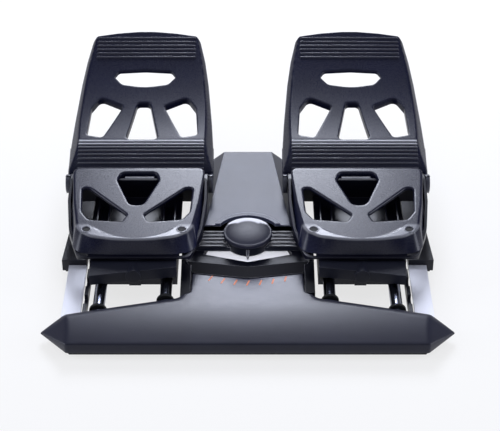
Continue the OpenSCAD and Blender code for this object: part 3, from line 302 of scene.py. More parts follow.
BRUSHED = {"grain_mm": 0.5, "grain_bump": 0.16, "stretch": (0.06, 1, 1)}
plastics = {
    # Shoes polish it: a dark sheen, and a pale painted highlight on the ribs' crests
    "pedal_navy": moulded("moulded ABS, pedal plates", "#10132b", "#2e324c", 0.27,
                          specular=0.27, highlight_colour="#d5d6dd"),
    "pedal_dark": moulded("moulded ABS, pedal bodies", "#0d0e1d", "#2e303e", 0.38),
    # Brushing spreads the sheen sideways, so that the broad top looks silky
    "plate_grey": moulded("brushed ABS, footplate", "#282937", "#484957", 0.34,
                          specular=0.24, **BRUSHED),
    # A duller mould keeps these two quiet behind the pedals
    "base_black": moulded("moulded ABS, rear plate", "#171823", "#3d3f4c", 0.42),
    "tray_black": moulded("moulded ABS, floor tray", "#101118", "#22232c", 0.6),
    # Brushed as well, a little violet, with a painted highlight along its edges
    "cover_lilac": moulded("brushed ABS, centre cover", "#2a2d3e", "#9fa1b2", 0.32,
                           specular=0.11, **BRUSHED),
    # Nearly black, with a painted highlight along their thin edges that draws them
    "bridge_black": moulded("moulded ABS, dial bridge", "#05060f", "#9a9ba6", 0.4,
                            edge_mm=0.4, specular=0.1),
    "lever_grey": moulded("moulded nylon, swing lever", "#0a0c15", "#a3a4af", 0.36,
                          edge_mm=0.35, specular=0.15),
    # Dull, with a bright crescent that paints a reflection
    "cap_dark": moulded("moulded ABS, hub cap", "#161724", "#4a4c5a", 0.42,
                        specular=0.16, highlight_colour="#c3c4ce"),
    # Glass fibres leave nylon an even grey, and acetal looks waxy
    "carriage_black": moulded("glass-filled nylon, carriages", "#20222f", "#3c3e4b", 0.42),
    "bushing_tan": moulded("black acetal, bushings", "#17181c", "#2c2d33", 0.36),
    # A board's lacquer is green and glossy
    "board_green": moulded("glass-epoxy board", "#1c5a3c", "#3f8a66", 0.35),
    "sensor_blue": moulded("moulded PBT, sensors", "#2a4a86", "#5f7fb8", 0.4),
    # Rubber scatters nearly all light, and looks flat
    "rubber_black": moulded("nitrile rubber", "#0f1013", "#1f2024", 0.8,
                            grain_mm=1.1, grain_bump=0.2),
    # Dark paint, with a painted highlight along its thin edges
    "needle_white": moulded("painted ABS, needle", "#33343d", "#c8c9d0", 0.3),
}
orange = moulded("screen-printed orange ink", "#a2593a", "#b96f4c", 0.5, grain_mm=0.4,
                 grain_bump=0.05, edge_mm=0.05)
print("plastics", len(plastics), "and one ink")

# %% [markdown]
# The tubes, pins, springs and screws are steel, and the strips beside the pedals and the
# dial plate are satin aluminium. Bare metal has no colour of its own under its gloss: all
# that shows is reflection, so its roughness and the fine lines of its finish do the work.
# The lines are drawn ten times as coarse as real ones of 0.05 mm, so that they show. A coat
# is drawn partly or wholly as paint, because it hides the metal.

# %% Metal
LINE_MM, LINE_BUMP, LINE_DEPTH_MM = 0.5, 0.05, 0.1
LINE_STRETCH = (1, 0.02, 1)
METAL_SMOOTHER, METAL_ROUGHER, METAL_EDGE_MM = 0.05, 0.08, 0.4


def metal(name, colour, rough, metallic=1.0):
    """Drawn or brushed metal: fine lines along Y change its gloss and its slope."""
    material, tree = new_material(name)
    place = add_node(tree, "ShaderNodeTexCoord").outputs["Object"]
    drawn = add_node(tree, "ShaderNodeMapping", {"Vector": place, "Scale": LINE_STRETCH})
    lines = add_node(tree, "ShaderNodeTexNoise",
                     {"Vector": drawn, "Scale": 1 / (LINE_MM * MM), "Detail": 2.0})
    gloss = add_node(tree, "ShaderNodeMapRange",
                     {"Value": lines, **NOISE_RANGE,
                      "To Min": rough - METAL_SMOOTHER, "To Max": rough + METAL_ROUGHER})
    softened = add_node(tree, "ShaderNodeBevel", {"Radius": METAL_EDGE_MM * MM},
                        samples=BEVEL_SAMPLES)
    bump = add_node(tree, "ShaderNodeBump",
                    {"Strength": LINE_BUMP, "Distance": LINE_DEPTH_MM * MM, "Height": lines,
                     "Normal": softened})
    shader = add_node(tree, "ShaderNodeBsdfPrincipled",
                      {"Base Color": linear(colour), "Metallic": metallic, "Roughness": gloss,
                       "Normal": bump})
    add_node(tree, "ShaderNodeOutputMaterial", {"Surface": shader})
    return material


metals = {
    # A satin coat: pale and soft, with hardly a mirror image
    "strip_silver": metal("satin aluminium", "#eeeff8", 0.42, metallic=0.1),
    # Polished nickel: long bright lines along the tube
    "tube_dark": metal("drawn steel tube, black nickel", "#7a7e8e", 0.2),
    # Phosphate and black oxide: dark, with a dull gleam or none
    "spring_steel": metal("phosphated spring wire", "#1b1c23", 0.4, metallic=0.5),
    "shaft_steel": metal("black oxide steel, shafts", "#24252c", 0.35, metallic=0.6),
    "screw_black": metal("black oxide steel, screws", "#08090d", 0.75, metallic=0.0),
    # Zinc: bright, and a little blurred
    "screw_steel": metal("zinc-plated steel", "#a4a7b0", 0.35),
}
print("metals", len(metals))

# %% [markdown]
# The record names each part's finish, so one loop dresses them all.

# %% Finish each part
finishes = {**plastics, **metals}
slots = {entry["node"]: entry["material_slot"] for entry in frame["record"]["subparts"]}
for name, part in nodes.items():
    part.data.materials.clear()
    part.data.materials.append(finishes[slots[name]])
print("parts finished", len(slots))

# %% [markdown]
# The pedals' plates are moulded shells: a curved skin with holes, and a wall that turns down
# round its edge and round each hole. Such a shell is worked out in three steps. An outline
# is drawn from corners and radii. A flat sheet of points fills it and is lifted to the
# skin's height. Rings of points then carry the sheet's edge over a rounding, down the wall
# and back up inside, where a second sheet closes the shell. Holes could also be cut by
# boolean modifiers, but those leave ragged shading on a curved skin.


# %% Outlines
def unit(rows):
    """Each row divided by its length."""
    return rows / np.linalg.norm(rows, axis=1)[:, None]


def rounded(corners, radii, steps=9):
    """A closed outline whose corners are turned at radii. Each arc's centre lies on the
    corner's bisector at radius / sin(half angle), and the arc swings from the first touching
    point to the second: (sin((1 - u) turn) first + sin(u turn) last) / sin(turn)."""
    p = np.asarray(corners, float)
    r = np.broadcast_to(np.asarray(radii, float), len(p))
    before, after = unit(np.roll(p, 1, axis=0) - p), unit(np.roll(p, -1, axis=0) - p)
    half = np.arccos(np.clip((before * after).sum(1), -1, 1)) / 2
    centre = p + unit(before + after) * (r / np.sin(half))[:, None]
    first = p + before * (r / np.tan(half))[:, None] - centre
    last = p + after * (r / np.tan(half))[:, None] - centre
    turn = (pi - 2 * half)[:, None]
    u = np.linspace(0, 1, steps)
    of_first, of_last = (np.sin(share * turn) / np.sin(turn) for share in (1 - u, u))
    arcs = (centre[:, None] + first[:, None] * of_first[..., None]
            + last[:, None] * of_last[..., None])
    return arcs.reshape(-1, 2)


def circle(x, y, radius, count=32):
    """Points at even angles round a centre."""
    turn = np.linspace(0, 2 * pi, count, endpoint=False)
    return np.column_stack([x + radius * np.cos(turn), y + radius * np.sin(turn)])


def spaced(outline, step, *others):
    """Points at even distances along a closed outline, and the matching points of others."""
    sides = np.linalg.norm(np.roll(outline, -1, axis=0) - outline, axis=1)
    run = np.concatenate([[0], np.cumsum(sides)])
    at = np.linspace(0, run[-1], int(np.ceil(run[-1] / step)), endpoint=False)
    results = [np.column_stack([np.interp(at, run, np.append(line[:, k], line[0, k]))
                                for k in (0, 1)])
               for line in (outline, *others)]
    return results if others else results[0]


def moved_out(outline, distance):
    """Each point of an anticlockwise outline moved along its outward normal."""
    along = unit(np.roll(outline, -1, axis=0) - np.roll(outline, 1, axis=0))
    return outline + np.column_stack([along[:, 1], -along[:, 0]]) * distance


def both_halves(right):
    """A half outline, listed front to back on the right, closed by its mirror image."""
    right = np.asarray(right, float)
    return np.vstack([right, right[::-1] * (-1, 1)])


def within(points, outline):
    """Whether each point lies inside an outline: a line from it to the right then crosses the
    outline an odd number of times."""
    x, y = points[:, None, 0], points[:, None, 1]
    a, b = outline, np.roll(outline, -1, axis=0)
    # A level side is never crossed, and only needs a rise that isn't 0
    rise = np.where(b[:, 1] == a[:, 1], 1e-9, b[:, 1] - a[:, 1])
    crossing_x = (b[:, 0] - a[:, 0]) * (y - a[:, 1]) / rise + a[:, 0]
    crosses = ((a[:, 1] > y) != (b[:, 1] > y)) & (x < crossing_x)
    return crosses.sum(1) % 2 == 1


print("outline tools ready")

# %% A flat sheet
EDGE_CLEARANCE = 0.35
# The border is taken in lots, to keep the tables of distances small
LOTS = 8
TRIANGLES_INSIDE, SAME_POINT = 1, 1e-5


def in_sheet(points, outer, holes):
    """Whether each point lies inside the outline and in none of its holes."""
    inside = within(points, outer)
    for hole in holes:
        inside &= ~within(points, hole)
    return inside


def flat_sheet(outer, holes, xs, ys):
    """Triangles that fill an outline less its holes. Grid points at xs and ys that lie inside,
    clear of every edge, are joined to the edges' points. The edges' points come first."""
    edges = [outer, *holes]
    border = np.vstack(edges)
    grid = np.stack(np.meshgrid(xs, ys), axis=-1).reshape(-1, 2)
    grid = grid[in_sheet(grid, outer, holes)]
    near = np.min([((grid[:, None] - part) ** 2).sum(2).min(1)
                   for part in np.array_split(border, LOTS)], axis=0)
    grid = grid[near > EDGE_CLEARANCE ** 2]
    starts = np.cumsum([0] + [len(edge) for edge in edges])
    bonds = np.vstack([np.column_stack([np.arange(a, b), np.roll(np.arange(a, b), -1)])
                       for a, b in zip(starts, starts[1:])])
    made, _, faces, _, _, _ = delaunay_2d_cdt(np.vstack([border, grid]).tolist(), bonds.tolist(),
                                              [], TRIANGLES_INSIDE, SAME_POINT)
    points, faces = np.array([tuple(v) for v in made]), np.array(faces)
    faces = faces[in_sheet(points[faces].mean(axis=1), outer, holes)]
    a, b, c = points[faces].transpose(1, 2, 0)
    area = (b[0] - a[0]) * (c[1] - a[1]) - (b[1] - a[1]) * (c[0] - a[0])
    faces[area < 0] = faces[area < 0][:, ::-1]
    assert np.allclose(points[:len(border)], border, atol=1e-4)
    return points, faces, starts


print("sheet tool ready")


# %% A shell
def constant(z):
    """A height that is the same everywhere."""
    return lambda x, y: np.full_like(x, z)


def rings_at(height, outline, profile):
    """A ring for each pair of a distance outwards from the outline and a rise over a height."""
    rings = []
    for out, rise in profile:
        plan = moved_out(outline, out)
        rings.append((plan, height(plan[:, 0], plan[:, 1]) + rise))
    return rings


def places(*bands):
    """Places along an axis, for bands of a start, an end and a step."""
    return np.concatenate([np.arange(*band) for band in bands])


def shell(height, outer_rings, hole_rings, under, xs, ys, under_step=2.5):
    """A closed shell. Each list of rings starts at the skin's edge and ends at the underside's,
    and a ring is a pair of plan points and heights. The skin is height(x, y), and the underside
    is under(x, y). Returns the points, the triangles and the four-sided faces."""
    chains = [outer_rings, *hole_rings]
    flat, skin, starts = flat_sheet(chains[0][0][0], [chain[0][0] for chain in hole_rings], xs, ys)
    points = [np.column_stack([flat, height(flat[:, 0], flat[:, 1])])]
    for chain, a, b in zip(chains, starts, starts[1:]):
        points[0][a:b, 2] = chain[0][1]
    total, quads, last = len(flat), [], []
    for number, (chain, a, b) in enumerate(zip(chains, starts, starts[1:])):
        here = np.arange(a, b)
        for plan, level in chain[1:]:
            points.append(np.column_stack([plan, level]))
            there = np.arange(total, total + len(plan))
            total += len(plan)
            band = np.column_stack([np.roll(here, -1), here, there, np.roll(there, -1)])
            quads.append(band if number == 0 else band[:, ::-1])
            here = there
        last.append(here)
    rim = chains[0][-1][0]
    low, high = rim.min(axis=0), rim.max(axis=0)
    base, floor, _ = flat_sheet(rim, [chain[-1][0] for chain in hole_rings],
                                np.arange(low[0], high[0], under_step),
                                np.arange(low[1], high[1], under_step))
    border = np.concatenate(last)
    rest = base[len(border):]
    points.append(np.column_stack([rest, under(rest[:, 0], rest[:, 1])]))
    name = np.concatenate([border, np.arange(total, total + len(rest))])
    faces = skin.tolist() + name[floor][:, ::-1].tolist()
    return np.vstack(points), faces + np.vstack(quads).tolist()


print("shell tool ready")

# %% [markdown]
# Every shell becomes a piece that rides on one of the moving bodies. The left and the right
# pedal are mirror images, so each shell is worked out once.

# %% A piece on its body
SHARP_ANGLE = radians(32)
SIDES = (("left", -1), ("right", 1))
PEDAL_X = 105.0


def add_piece(name, body, slot, parts, side=1, shift=0.0, painted_highlight=None):
    """Joins lists of points (mm) and faces into one piece on a body. The left-hand piece has its
    faces turned round, so that they still point outwards. The function passed as the last
    argument gives each point's share of a pale colour that paints a highlight."""
    points, faces, count = [], [], 0
    for part_points, part_faces in parts:
        points.append(part_points + (shift, 0, 0))
        faces += [[i + count for i in face] for face in part_faces]
        count += len(part_points)
    points = np.vstack(points)
    highlight_share = painted_highlight(points - (shift, 0, 0)) if painted_highlight else np.zeros(len(points))
    points = points * (side * MM, MM, MM)
    if side < 0:
        faces = [face[::-1] for face in faces]
    mesh = bpy.data.meshes.new(name)
    mesh.from_pydata(points.tolist(), [], faces)
    mesh.shade_smooth()
    mesh.set_sharp_from_angle(angle=SHARP_ANGLE)
    # Each point's share of painted highlight, kept for the material
    share = mesh.attributes.new("painted_highlight", "FLOAT", "POINT")
    share.data.foreach_set("value", highlight_share.astype(np.float32))
    mesh.materials.append(finishes[slot])
    piece = bpy.data.objects.new(name, mesh)
    bpy.context.scene.collection.objects.link(piece)
    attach(piece, body)
    return piece


print("pedals at x", [side * PEDAL_X for _, side in SIDES])

# %% [markdown]
# The toe plate's skin is one curve from front to back: a small roll under the ball of the
# foot, then a long hollow that rises to the toes. Sloped shoulders run down both sides, and
# thin ribs stand on the roll and at the toe end. All of it is a height over x and y. The
# shoulders are joined by a soft minimum, and each rib is a smooth step up and down again.

# %% Toe plate: its heights
AXLE_Y, AXLE_Z = 12.0, 50.0
ROLL_FRONT_Y, ROLL_END_Y, TOE_FAR_Y, TOE_APEX_Y = 26.0, 60.0, 186.5, 192.0
TOE_HALF, TOE_WALL = 71.1, 3.4
# The hollow's arc passes this point while it climbs at this angle
HOLLOW_R, START_Y, START_Z, START_CLIMB = 440.0, 40, 68.7, radians(8)
HOLLOW_Y, HOLLOW_Z = START_Y - HOLLOW_R * sin(START_CLIMB), START_Z + HOLLOW_R * cos(START_CLIMB)
# The roll's arc meets the hollow's at ROLL_END_Y with the same slope
ROLL_R = 60.0
ROLL_SLOPE = asin((ROLL_END_Y - HOLLOW_Y) / HOLLOW_R)
ROLL_Y = ROLL_END_Y + ROLL_R * sin(ROLL_SLOPE)
ROLL_Z = HOLLOW_Z - HOLLOW_R * cos(ROLL_SLOPE) - ROLL_R * cos(ROLL_SLOPE)
# The shoulders' upper edge at the roll's end, how much further in it is at the toes, their
# fall outwards, and the width of the rounding
SHOULDER_X, SHOULDER_IN, SHOULDER_FALL, SHOULDER_SOFT = 62.5, 11, 4 / 3, 1.6
RIB_W, RIB_RISE, RIB_PITCH, RIB_FLANK = 1.7, 1.4, 4.3, 0.5
ROLL_RIBS, ROLL_RIBS_END_Y, ROLL_RIB_HALF = 8, 55.7, 62.1
TOE_RIBS, TOE_RIB_HALF = 6, 51.1
# Each rib's middle and half length
RIBS = [(ROLL_FRONT_Y + (ROLL_RIBS_END_Y - ROLL_FRONT_Y) * (k + 0.7) / ROLL_RIBS, ROLL_RIB_HALF)
        for k in range(ROLL_RIBS)]
RIBS += [(TOE_FAR_Y - RIB_PITCH * (k + 0.6), TOE_RIB_HALF) for k in range(TOE_RIBS)]


def side_height(y):
    """The roll is z = centre + root(r^2 - (y - centre)^2), and the hollow the same with a minus."""
    roll = ROLL_Z + np.sqrt(np.maximum(ROLL_R ** 2 - (y - ROLL_Y) ** 2, 0))
    hollow = HOLLOW_Z - np.sqrt(HOLLOW_R ** 2 - (y - HOLLOW_Y) ** 2)
    return np.where(y < ROLL_END_Y, roll, hollow)


def soft_min(a, b, width):
    """The smaller of two heights, with the crease between them rounded over a width."""
    h = np.clip(0.5 + 0.5 * (b - a) / width, 0, 1)
    return b + (a - b) * h - width * h * (1 - h)


def smooth_step(t):
    """3t^2 - 2t^3 between 0 and 1."""
    t = np.clip(t, 0, 1)
    return t * t * (3 - 2 * t)


def toe_skin(x, y):
    """The side height, cut by the plane of the shoulder, which falls 4 mm in 3 outwards."""
    near, far = side_height(np.array([ROLL_END_Y, TOE_FAR_Y]))
    climb = (far - near - SHOULDER_FALL * SHOULDER_IN) / (TOE_FAR_Y - ROLL_END_Y)
    shoulder = near - SHOULDER_FALL * (np.abs(x) - SHOULDER_X) + climb * (y - ROLL_END_Y)
    return soft_min(side_height(y), shoulder, SHOULDER_SOFT)


def toe_height(x, y):
    """The skin with its ribs. A rib's rise falls off over 0.5 mm at its sides and its ends. Its
    width is measured along the skin, whose slope is the change of height over 1 mm."""
    z = toe_skin(x, y)
    slope = side_height(y + 0.5) - side_height(y - 0.5)
    flat = 1 / np.sqrt(1 + slope ** 2)
    for middle, half in RIBS:
        beside = np.abs(y - middle) / flat
        across = smooth_step((RIB_W / 2 + RIB_FLANK / 2 - beside) / RIB_FLANK)
        z = z + RIB_RISE * across * smooth_step((half - np.abs(x)) / RIB_FLANK)
    return z


print("toe plate height at its ends", side_height(np.array([ROLL_FRONT_Y, TOE_APEX_Y])).round(1))

# %% [markdown]
# The toe plate's outline narrows towards the toes and ends in a shallow arc. Its holes are
# listed as shares of the plate's half width and of its length behind the roll, with the
# radius of each corner.

# %% Toe plate: outline and holes
TAPER = 15.5
# Shares of the length behind the roll, and of the taper there
TAPER_SHARES = ((0, 0.03), (0.2, 0.13), (0.58, 0.4), (0.79, 0.65), (0.958, 1))
TOE_ARC = [(30.0, 190.2), (8.0, TOE_APEX_Y - 0.05)]
TOE_EDGE_R = [3, 40, 60, 60, 40, 4, 40, 60]
SLOT = [(0.443, 0.608), (0.379, 0.658), (0, 0.67), (-0.379, 0.658), (-0.443, 0.608),
        (-0.331, 0.537), (0, 0.508), (0.331, 0.537)]
SLOT_R = [2, 4, 60, 4, 2, 8, 60, 8]
MIDDLE_HOLE = [(0.088, 0.363), (-0.088, 0.363), (-0.226, -0.017), (0.226, -0.017)]
MIDDLE_HOLE_R = 4
SIDE_HOLE = [(0.615, 0.415), (0.287, 0.328), (0.548, 0.002), (0.775, 0.03), (0.74, 0.305)]
SIDE_HOLE_R = [6, 3, 4, 3.5, 5]
OUTLINE_STEP, TOE_HOLE_STEP = 1.0, 0.9
COLLAR_REACH, COLLAR_WALL = 6.6, 1.6
# The wall reaches this far under the side height: at the roll's front, its end and the toes
WALL_REACH = (9.6, 19, 13)


def on_toe(shares):
    """Shares of the half width and of the length behind the roll, as x and y."""
    return np.array([(a * TOE_HALF, ROLL_END_Y + b * (TOE_APEX_Y - ROLL_END_Y)) for a, b in shares])


def toe_outline():
    """Half widths at places along the plate, with the far corner turned at 4 mm."""
    right = [(TOE_HALF, ROLL_FRONT_Y)]
    right += [(TOE_HALF - TAPER * b, ROLL_END_Y + a * (TOE_APEX_Y - ROLL_END_Y))
              for a, b in TAPER_SHARES]
    right += TOE_ARC
    return spaced(rounded(both_halves(right), TOE_EDGE_R + TOE_EDGE_R[::-1]), OUTLINE_STEP)


def toe_hole_rings(outline, collar):
    """From the skin over a 0.8 mm rounding and down. A collar reaches 6.6 mm under the skin,
    and comes back up outside to the underside."""
    profile = [(0.8, 0), (0.42, -0.12), (0.12, -0.42), (0, -0.8)]
    if collar:
        profile += [(0, -COLLAR_REACH), (COLLAR_WALL, -COLLAR_REACH), (COLLAR_WALL, -TOE_WALL)]
    else:
        profile += [(0, -TOE_WALL)]
    return rings_at(toe_skin, outline, profile)


def toe_lower_edge(x, y):
    """The wall's lower edge, straight from the roll's front to its end and on to the toes."""
    at = np.array([ROLL_FRONT_Y, ROLL_END_Y, TOE_APEX_Y])
    return np.interp(y, at, side_height(at) - WALL_REACH)


def toe_outer_rings():
    """From the skin over a 1.2 mm rounding, down the wall, round its foot and up inside."""
    outline = toe_outline()
    return (rings_at(toe_skin, outline, [(-1.2, 0), (-0.65, -0.06), (-0.2, -0.4), (0, -1.1)])
            + rings_at(toe_lower_edge, outline, [(0, 0.5), (-0.4, 0), (-2.4, 0)])
            + rings_at(toe_skin, outline, [(-TOE_WALL, -TOE_WALL)]))


print("toe plate outline", len(toe_outline()), "points")

# %% [markdown]
# On each side an ear at the toe plate's front takes the end of the axle. It is a shell as
# well, worked out lying down and then turned up on its edge.

# %% Toe plate: its ears
EAR_R, EAR_BORE_R, EAR_THICK = 10, 5, 4.6
# Where the ear's lower line meets the wall's lower edge, how far under the side height its
# upper line lies at both ends, and the radii of its corners
EAR_FOOT_Y, EAR_DROP_FRONT, EAR_DROP_END = 32.0, 2, 11
EAR_ROUND_R, EAR_CORNER_R = 9, [3, 2, 2, 3]
# Pairs of a distance in from the slab's edges and a rise over its outer face
EAR_PROFILE = ((0.7, 0), (0.2, -0.2), (0, -0.7), (0, -3.9), (0.2, -4.4), (0.7, -EAR_THICK))


def toe_ear():
    """A round end joined to the wall, as a slab with rounded edges, with y and z as its plan
    and x as its height."""
    angle = np.radians(np.arange(0, 161, 20))
    around = np.column_stack([AXLE_Y - EAR_R * np.sin(angle), AXLE_Z + EAR_R * np.cos(angle)])
    front, end = side_height(np.array([ROLL_FRONT_Y, ROLL_END_Y]))
    tail = [(EAR_FOOT_Y, front - WALL_REACH[0]), (ROLL_END_Y, end - WALL_REACH[1]),
            (ROLL_END_Y, end - EAR_DROP_END), (ROLL_FRONT_Y, front - EAR_DROP_FRONT)]
    radii = [EAR_ROUND_R] * len(around) + EAR_CORNER_R
    outline = spaced(rounded(np.vstack([around, tail]), radii), OUTLINE_STEP)
    bore = circle(AXLE_Y, AXLE_Z, EAR_BORE_R, 40)
    face = constant(TOE_HALF)
    outer, inner = (rings_at(face, edge, [(sign * inset, rise) for inset, rise in EAR_PROFILE])
                    for edge, sign in ((outline, -1), (bore, 1)))
    points, faces = shell(face, outer, [inner], constant(TOE_HALF - EAR_THICK),
                          np.arange(2, 60, 2.0), np.arange(40, 62, 2.0))
    return points[:, [2, 0, 1]], faces


print("ear", len(toe_ear()[0]), "points")

# %% Toe plates
CREST_FROM, CREST_OVER = 0.35, 0.6
# The painted highlight on the ribs: where it starts on the roll, the length over which it grows,
# its least share there and its share at the toes
RIB_HIGHLIGHT_Y, RIB_HIGHLIGHT_OVER, RIB_HIGHLIGHT_LEAST, RIB_HIGHLIGHT_AT_TOES, TOE_RIBS_FROM_Y = 44, 8, 0.1, 0.05, 100


def rib_painted_highlight(points):
    """A painted highlight on the ribs' crests: on the roll little at first and fully from
    y = 52, and at the toes hardly at all."""
    x, y, z = points.T
    rise = np.clip((z - toe_skin(x, y)) / RIB_RISE, 0, 1)
    crest = smooth_step((rise - CREST_FROM) / CREST_OVER)
    behind = np.clip((y - RIB_HIGHLIGHT_Y) / RIB_HIGHLIGHT_OVER, 0, 1)
    on_roll = RIB_HIGHLIGHT_LEAST + (1 - RIB_HIGHLIGHT_LEAST) * behind ** 2
    return crest * np.where(y < TOE_RIBS_FROM_Y, on_roll, RIB_HIGHLIGHT_AT_TOES)


def make_toe_plates():
    """Both toe plates, with rows 0.28 mm apart where the ribs are, and columns where the ribs
    end. The last hole is the mirror image of the one before it."""
    holes = [spaced(rounded(on_toe(shares), radii), TOE_HOLE_STEP)
             for shares, radii in ((SLOT, SLOT_R), (MIDDLE_HOLE, MIDDLE_HOLE_R),
                                   (SIDE_HOLE, SIDE_HOLE_R))]
    holes.append(holes[-1][::-1] * (-1, 1))
    rings = [toe_hole_rings(hole, number > 0) for number, hole in enumerate(holes)]
    rib_ends = [side * (half - inset) for side in (-1, 1)
                for half in (ROLL_RIB_HALF, TOE_RIB_HALF)
                for inset in (0, RIB_FLANK / 2, RIB_FLANK)]
    xs = np.unique(np.concatenate([np.arange(-70.4, 70.5, 1.6), rib_ends]).round(3))
    ys = places((27, 57.6, 0.28), (58, 160.5, 1.4), (161, 186.5, 0.28), (187, 192, 1.2))
    main = shell(toe_height, toe_outer_rings(), rings, lambda x, y: toe_skin(x, y) - TOE_WALL,
                 xs, ys)
    ear = toe_ear()
    other = (ear[0] * (-1, 1, 1), [face[::-1] for face in ear[1]])
    for word, side in SIDES:
        piece = add_piece("toe_shell_" + word, "toe_" + word, "pedal_navy", [main, ear, other],
                          side, PEDAL_X, painted_highlight=rib_painted_highlight)
        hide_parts("toe_plate_" + word)
        print(piece.name, len(piece.data.vertices), "points")


make_toe_plates()

# %% [markdown]
# The heel plate is a flat, gently sloped plate that turns down into a skirt. At the front it
# ends in a heel stop: a flat crescent between the two screws, with a soft front face that
# leans back. The top edge and the skirt's foot are two outlines with the same corners, so
# that each point of one has its partner on the other, and the skirt runs between them.

# %% Heel plate: its heights
HEEL_FRONT_Y, HEEL_REAR_Y, SCREW_X, SCREW_Y = -94.2, 15.0, 44.2, -75.2
HEEL_H, HEEL_SLOPE, STOP_TOP, LIP_Z = 56.6, tan(radians(6)), 57.0, 41.3
HEEL_HALF, HEEL_WALL = 63.6, 3.0
# The cup is a circle that leaves the heel stop 5.8 mm deep in the middle
CUP_R, STOP_DEPTH = 52.7, 5.8
CUP_Y = HEEL_FRONT_Y + STOP_DEPTH + CUP_R
STOP_REAR_Y, STOP_FADE = -60, 6
# The step up to the stop's top starts this far inside the circle, and is this wide
STEP_INSIDE, STEP_WIDTH = 1.2, 1.8


def heel_slope(y):
    """A plane that climbs 6 degrees away from the screws."""
    return HEEL_H + (y - SCREW_Y) * HEEL_SLOPE


def heel_under(x, y):
    """The underside, one wall below the slope."""
    return heel_slope(y) - HEEL_WALL


def from_cup(x, y):
    """How far a point lies outside the cup's circle."""
    return np.hypot(x, y - CUP_Y) - CUP_R


def heel_height(x, y):
    """The slope, and outside the cup's circle the heel stop's level top, joined over 1.8 mm."""
    z = heel_slope(y)
    beyond = smooth_step((from_cup(x, y) + STEP_INSIDE) / STEP_WIDTH)
    return z + np.maximum(STOP_TOP - z, 0) * beyond * smooth_step((STOP_REAR_Y - y) / STOP_FADE)


print("heel plate height at its ends", heel_slope(np.array([HEEL_FRONT_Y, HEEL_REAR_Y])).round(1))

# %% Heel plate: outlines and holes
TOP_EDGE = [(7, -91.2), (20, -90.3), (39.5, -85.8), (49, -78.2),
            (54, -70), (59.6, -36), (63.4, 4), (63.4, 15)]
FOOT_EDGE = [(7, -94.1), (18, -93.9), (38.5, -93.2), (52, -90),
             (57.5, -81), (62.5, -36), (62.8, 4), (62.8, 15)]
EDGE_R = [60, 60, 16, 13, 16, 40, 40, 6.5]
HEEL_HOLE_STEP = 0.8
BARE_FROM_Y, BARE_OVER = -12, 10
# Where the skirt starts below the edge, the height of its foot's rounding, its foot's width,
# and how far in the underside's edge lies
SKIRT_START, FOOT_ROUND, FOOT_WIDTH, UNDER_IN = 1.9, 0.5, 2.2, 3.4
SHIELD_HOLE = [(0.099, 0.496), (0.315, 0.828), (0.266, 0.931)]
SHIELD_R = [7, 7, 6]
HEEL_HOLE = [(0.83, 0.722), (0.72, 0.722), (0.125, 0.37),
             (0.191, 0.278), (0.687, 0.307), (0.792, 0.405)]
HEEL_HOLE_R = [3.2, 6, 2.5, 2.5, 6, 6]
HOLE_EDGE = 1.5
# Pairs of a radius and a rise over the plate, from the rim's outside to the pocket's mouth
POCKET_RIM = ((5.2, 0), (4.9, 0.3), (4.2, 0.34), (3.8, 0))
POCKET_R, POCKET_DEPTH, SCREW_HOLE_R = 3.6, 2.6, 1.9


def on_heel(shares):
    """Shares of the half width and of the length from the front edge, as x and y."""
    return np.array([(a * HEEL_HALF, HEEL_FRONT_Y + b * (HEEL_REAR_Y - HEEL_FRONT_Y))
                     for a, b in shares])


def heel_outer_rings():
    """From the top over a 2.2 mm rounding, down the sloped skirt, round its foot and up inside."""
    radii = EDGE_R + EDGE_R[::-1]
    top, foot = spaced(rounded(both_halves(TOP_EDGE), radii), OUTLINE_STEP,
                       rounded(both_halves(FOOT_EDGE), radii))
    high = heel_height(top[:, 0], top[:, 1])
    # Behind y = -12 the skirt runs out into the bare plate
    bare = smooth_step((top[:, 1] - BARE_FROM_Y) / BARE_OVER)
    low = LIP_Z + (heel_under(top[:, 0], top[:, 1]) - LIP_Z) * bare

    def on_skirt(z):
        down = ((high - z) / (high - LIP_Z))[:, None]
        return top + (foot - top) * down, z

    inner_foot = moved_out(on_skirt(low)[0], -FOOT_WIDTH)
    return (rings_at(heel_height, top, [(-2.2, 0), (-1.4, -0.12), (-0.7, -0.45), (-0.2, -1.0)])
            + [on_skirt(high - SKIRT_START), on_skirt(low + FOOT_ROUND), on_skirt(low),
               (inner_foot, low)]
            + rings_at(heel_under, top, [(-UNDER_IN, 0)]))


def heel_hole_rings(outline):
    """Over a rounding as wide as the plate's real one, down, and out at the underside."""
    profile = [(HOLE_EDGE * out, -HOLE_EDGE * drop)
               for out, drop in ((1, 0), (0.5, 0.14), (0.15, 0.45), (0, 1))]
    return rings_at(heel_height, outline, profile) + rings_at(heel_under, outline, [(0, 0)])


def screw_pocket_rings(x):
    """A round pocket for a screw's head, with a raised rim, and the hole through its floor."""
    rings = []
    for radius, rise in POCKET_RIM:
        rim = circle(x, SCREW_Y, radius)
        rings.append((rim, heel_height(rim[:, 0], rim[:, 1]) + rise))
    for radius in (POCKET_R, SCREW_HOLE_R):
        floor = circle(x, SCREW_Y, radius)
        rings.append((floor, np.full(len(floor), HEEL_H - POCKET_DEPTH)))
    through = circle(x, SCREW_Y, SCREW_HOLE_R)
    return rings + [(through, heel_under(through[:, 0], through[:, 1]))]


print("heel plate outline", len(heel_outer_rings()[0][0]), "points")

# %% Heel plates
# The share of painted highlight, and its bounds: beyond the cup's circle, in front of
# y = -66, round each pocket's mouth, and near the stop's top
STOP_HIGHLIGHT, CUP_INSIDE, CUP_OVER, STOP_HIGHLIGHT_Y, STOP_HIGHLIGHT_OVER = 0.3, 0.4, 0.8, -66, 4
MOUTH_R, RIM_R, RIM_OVER, STOP_HIGHLIGHT_DEPTH = 3.7, 5.6, 0.5, 1.6


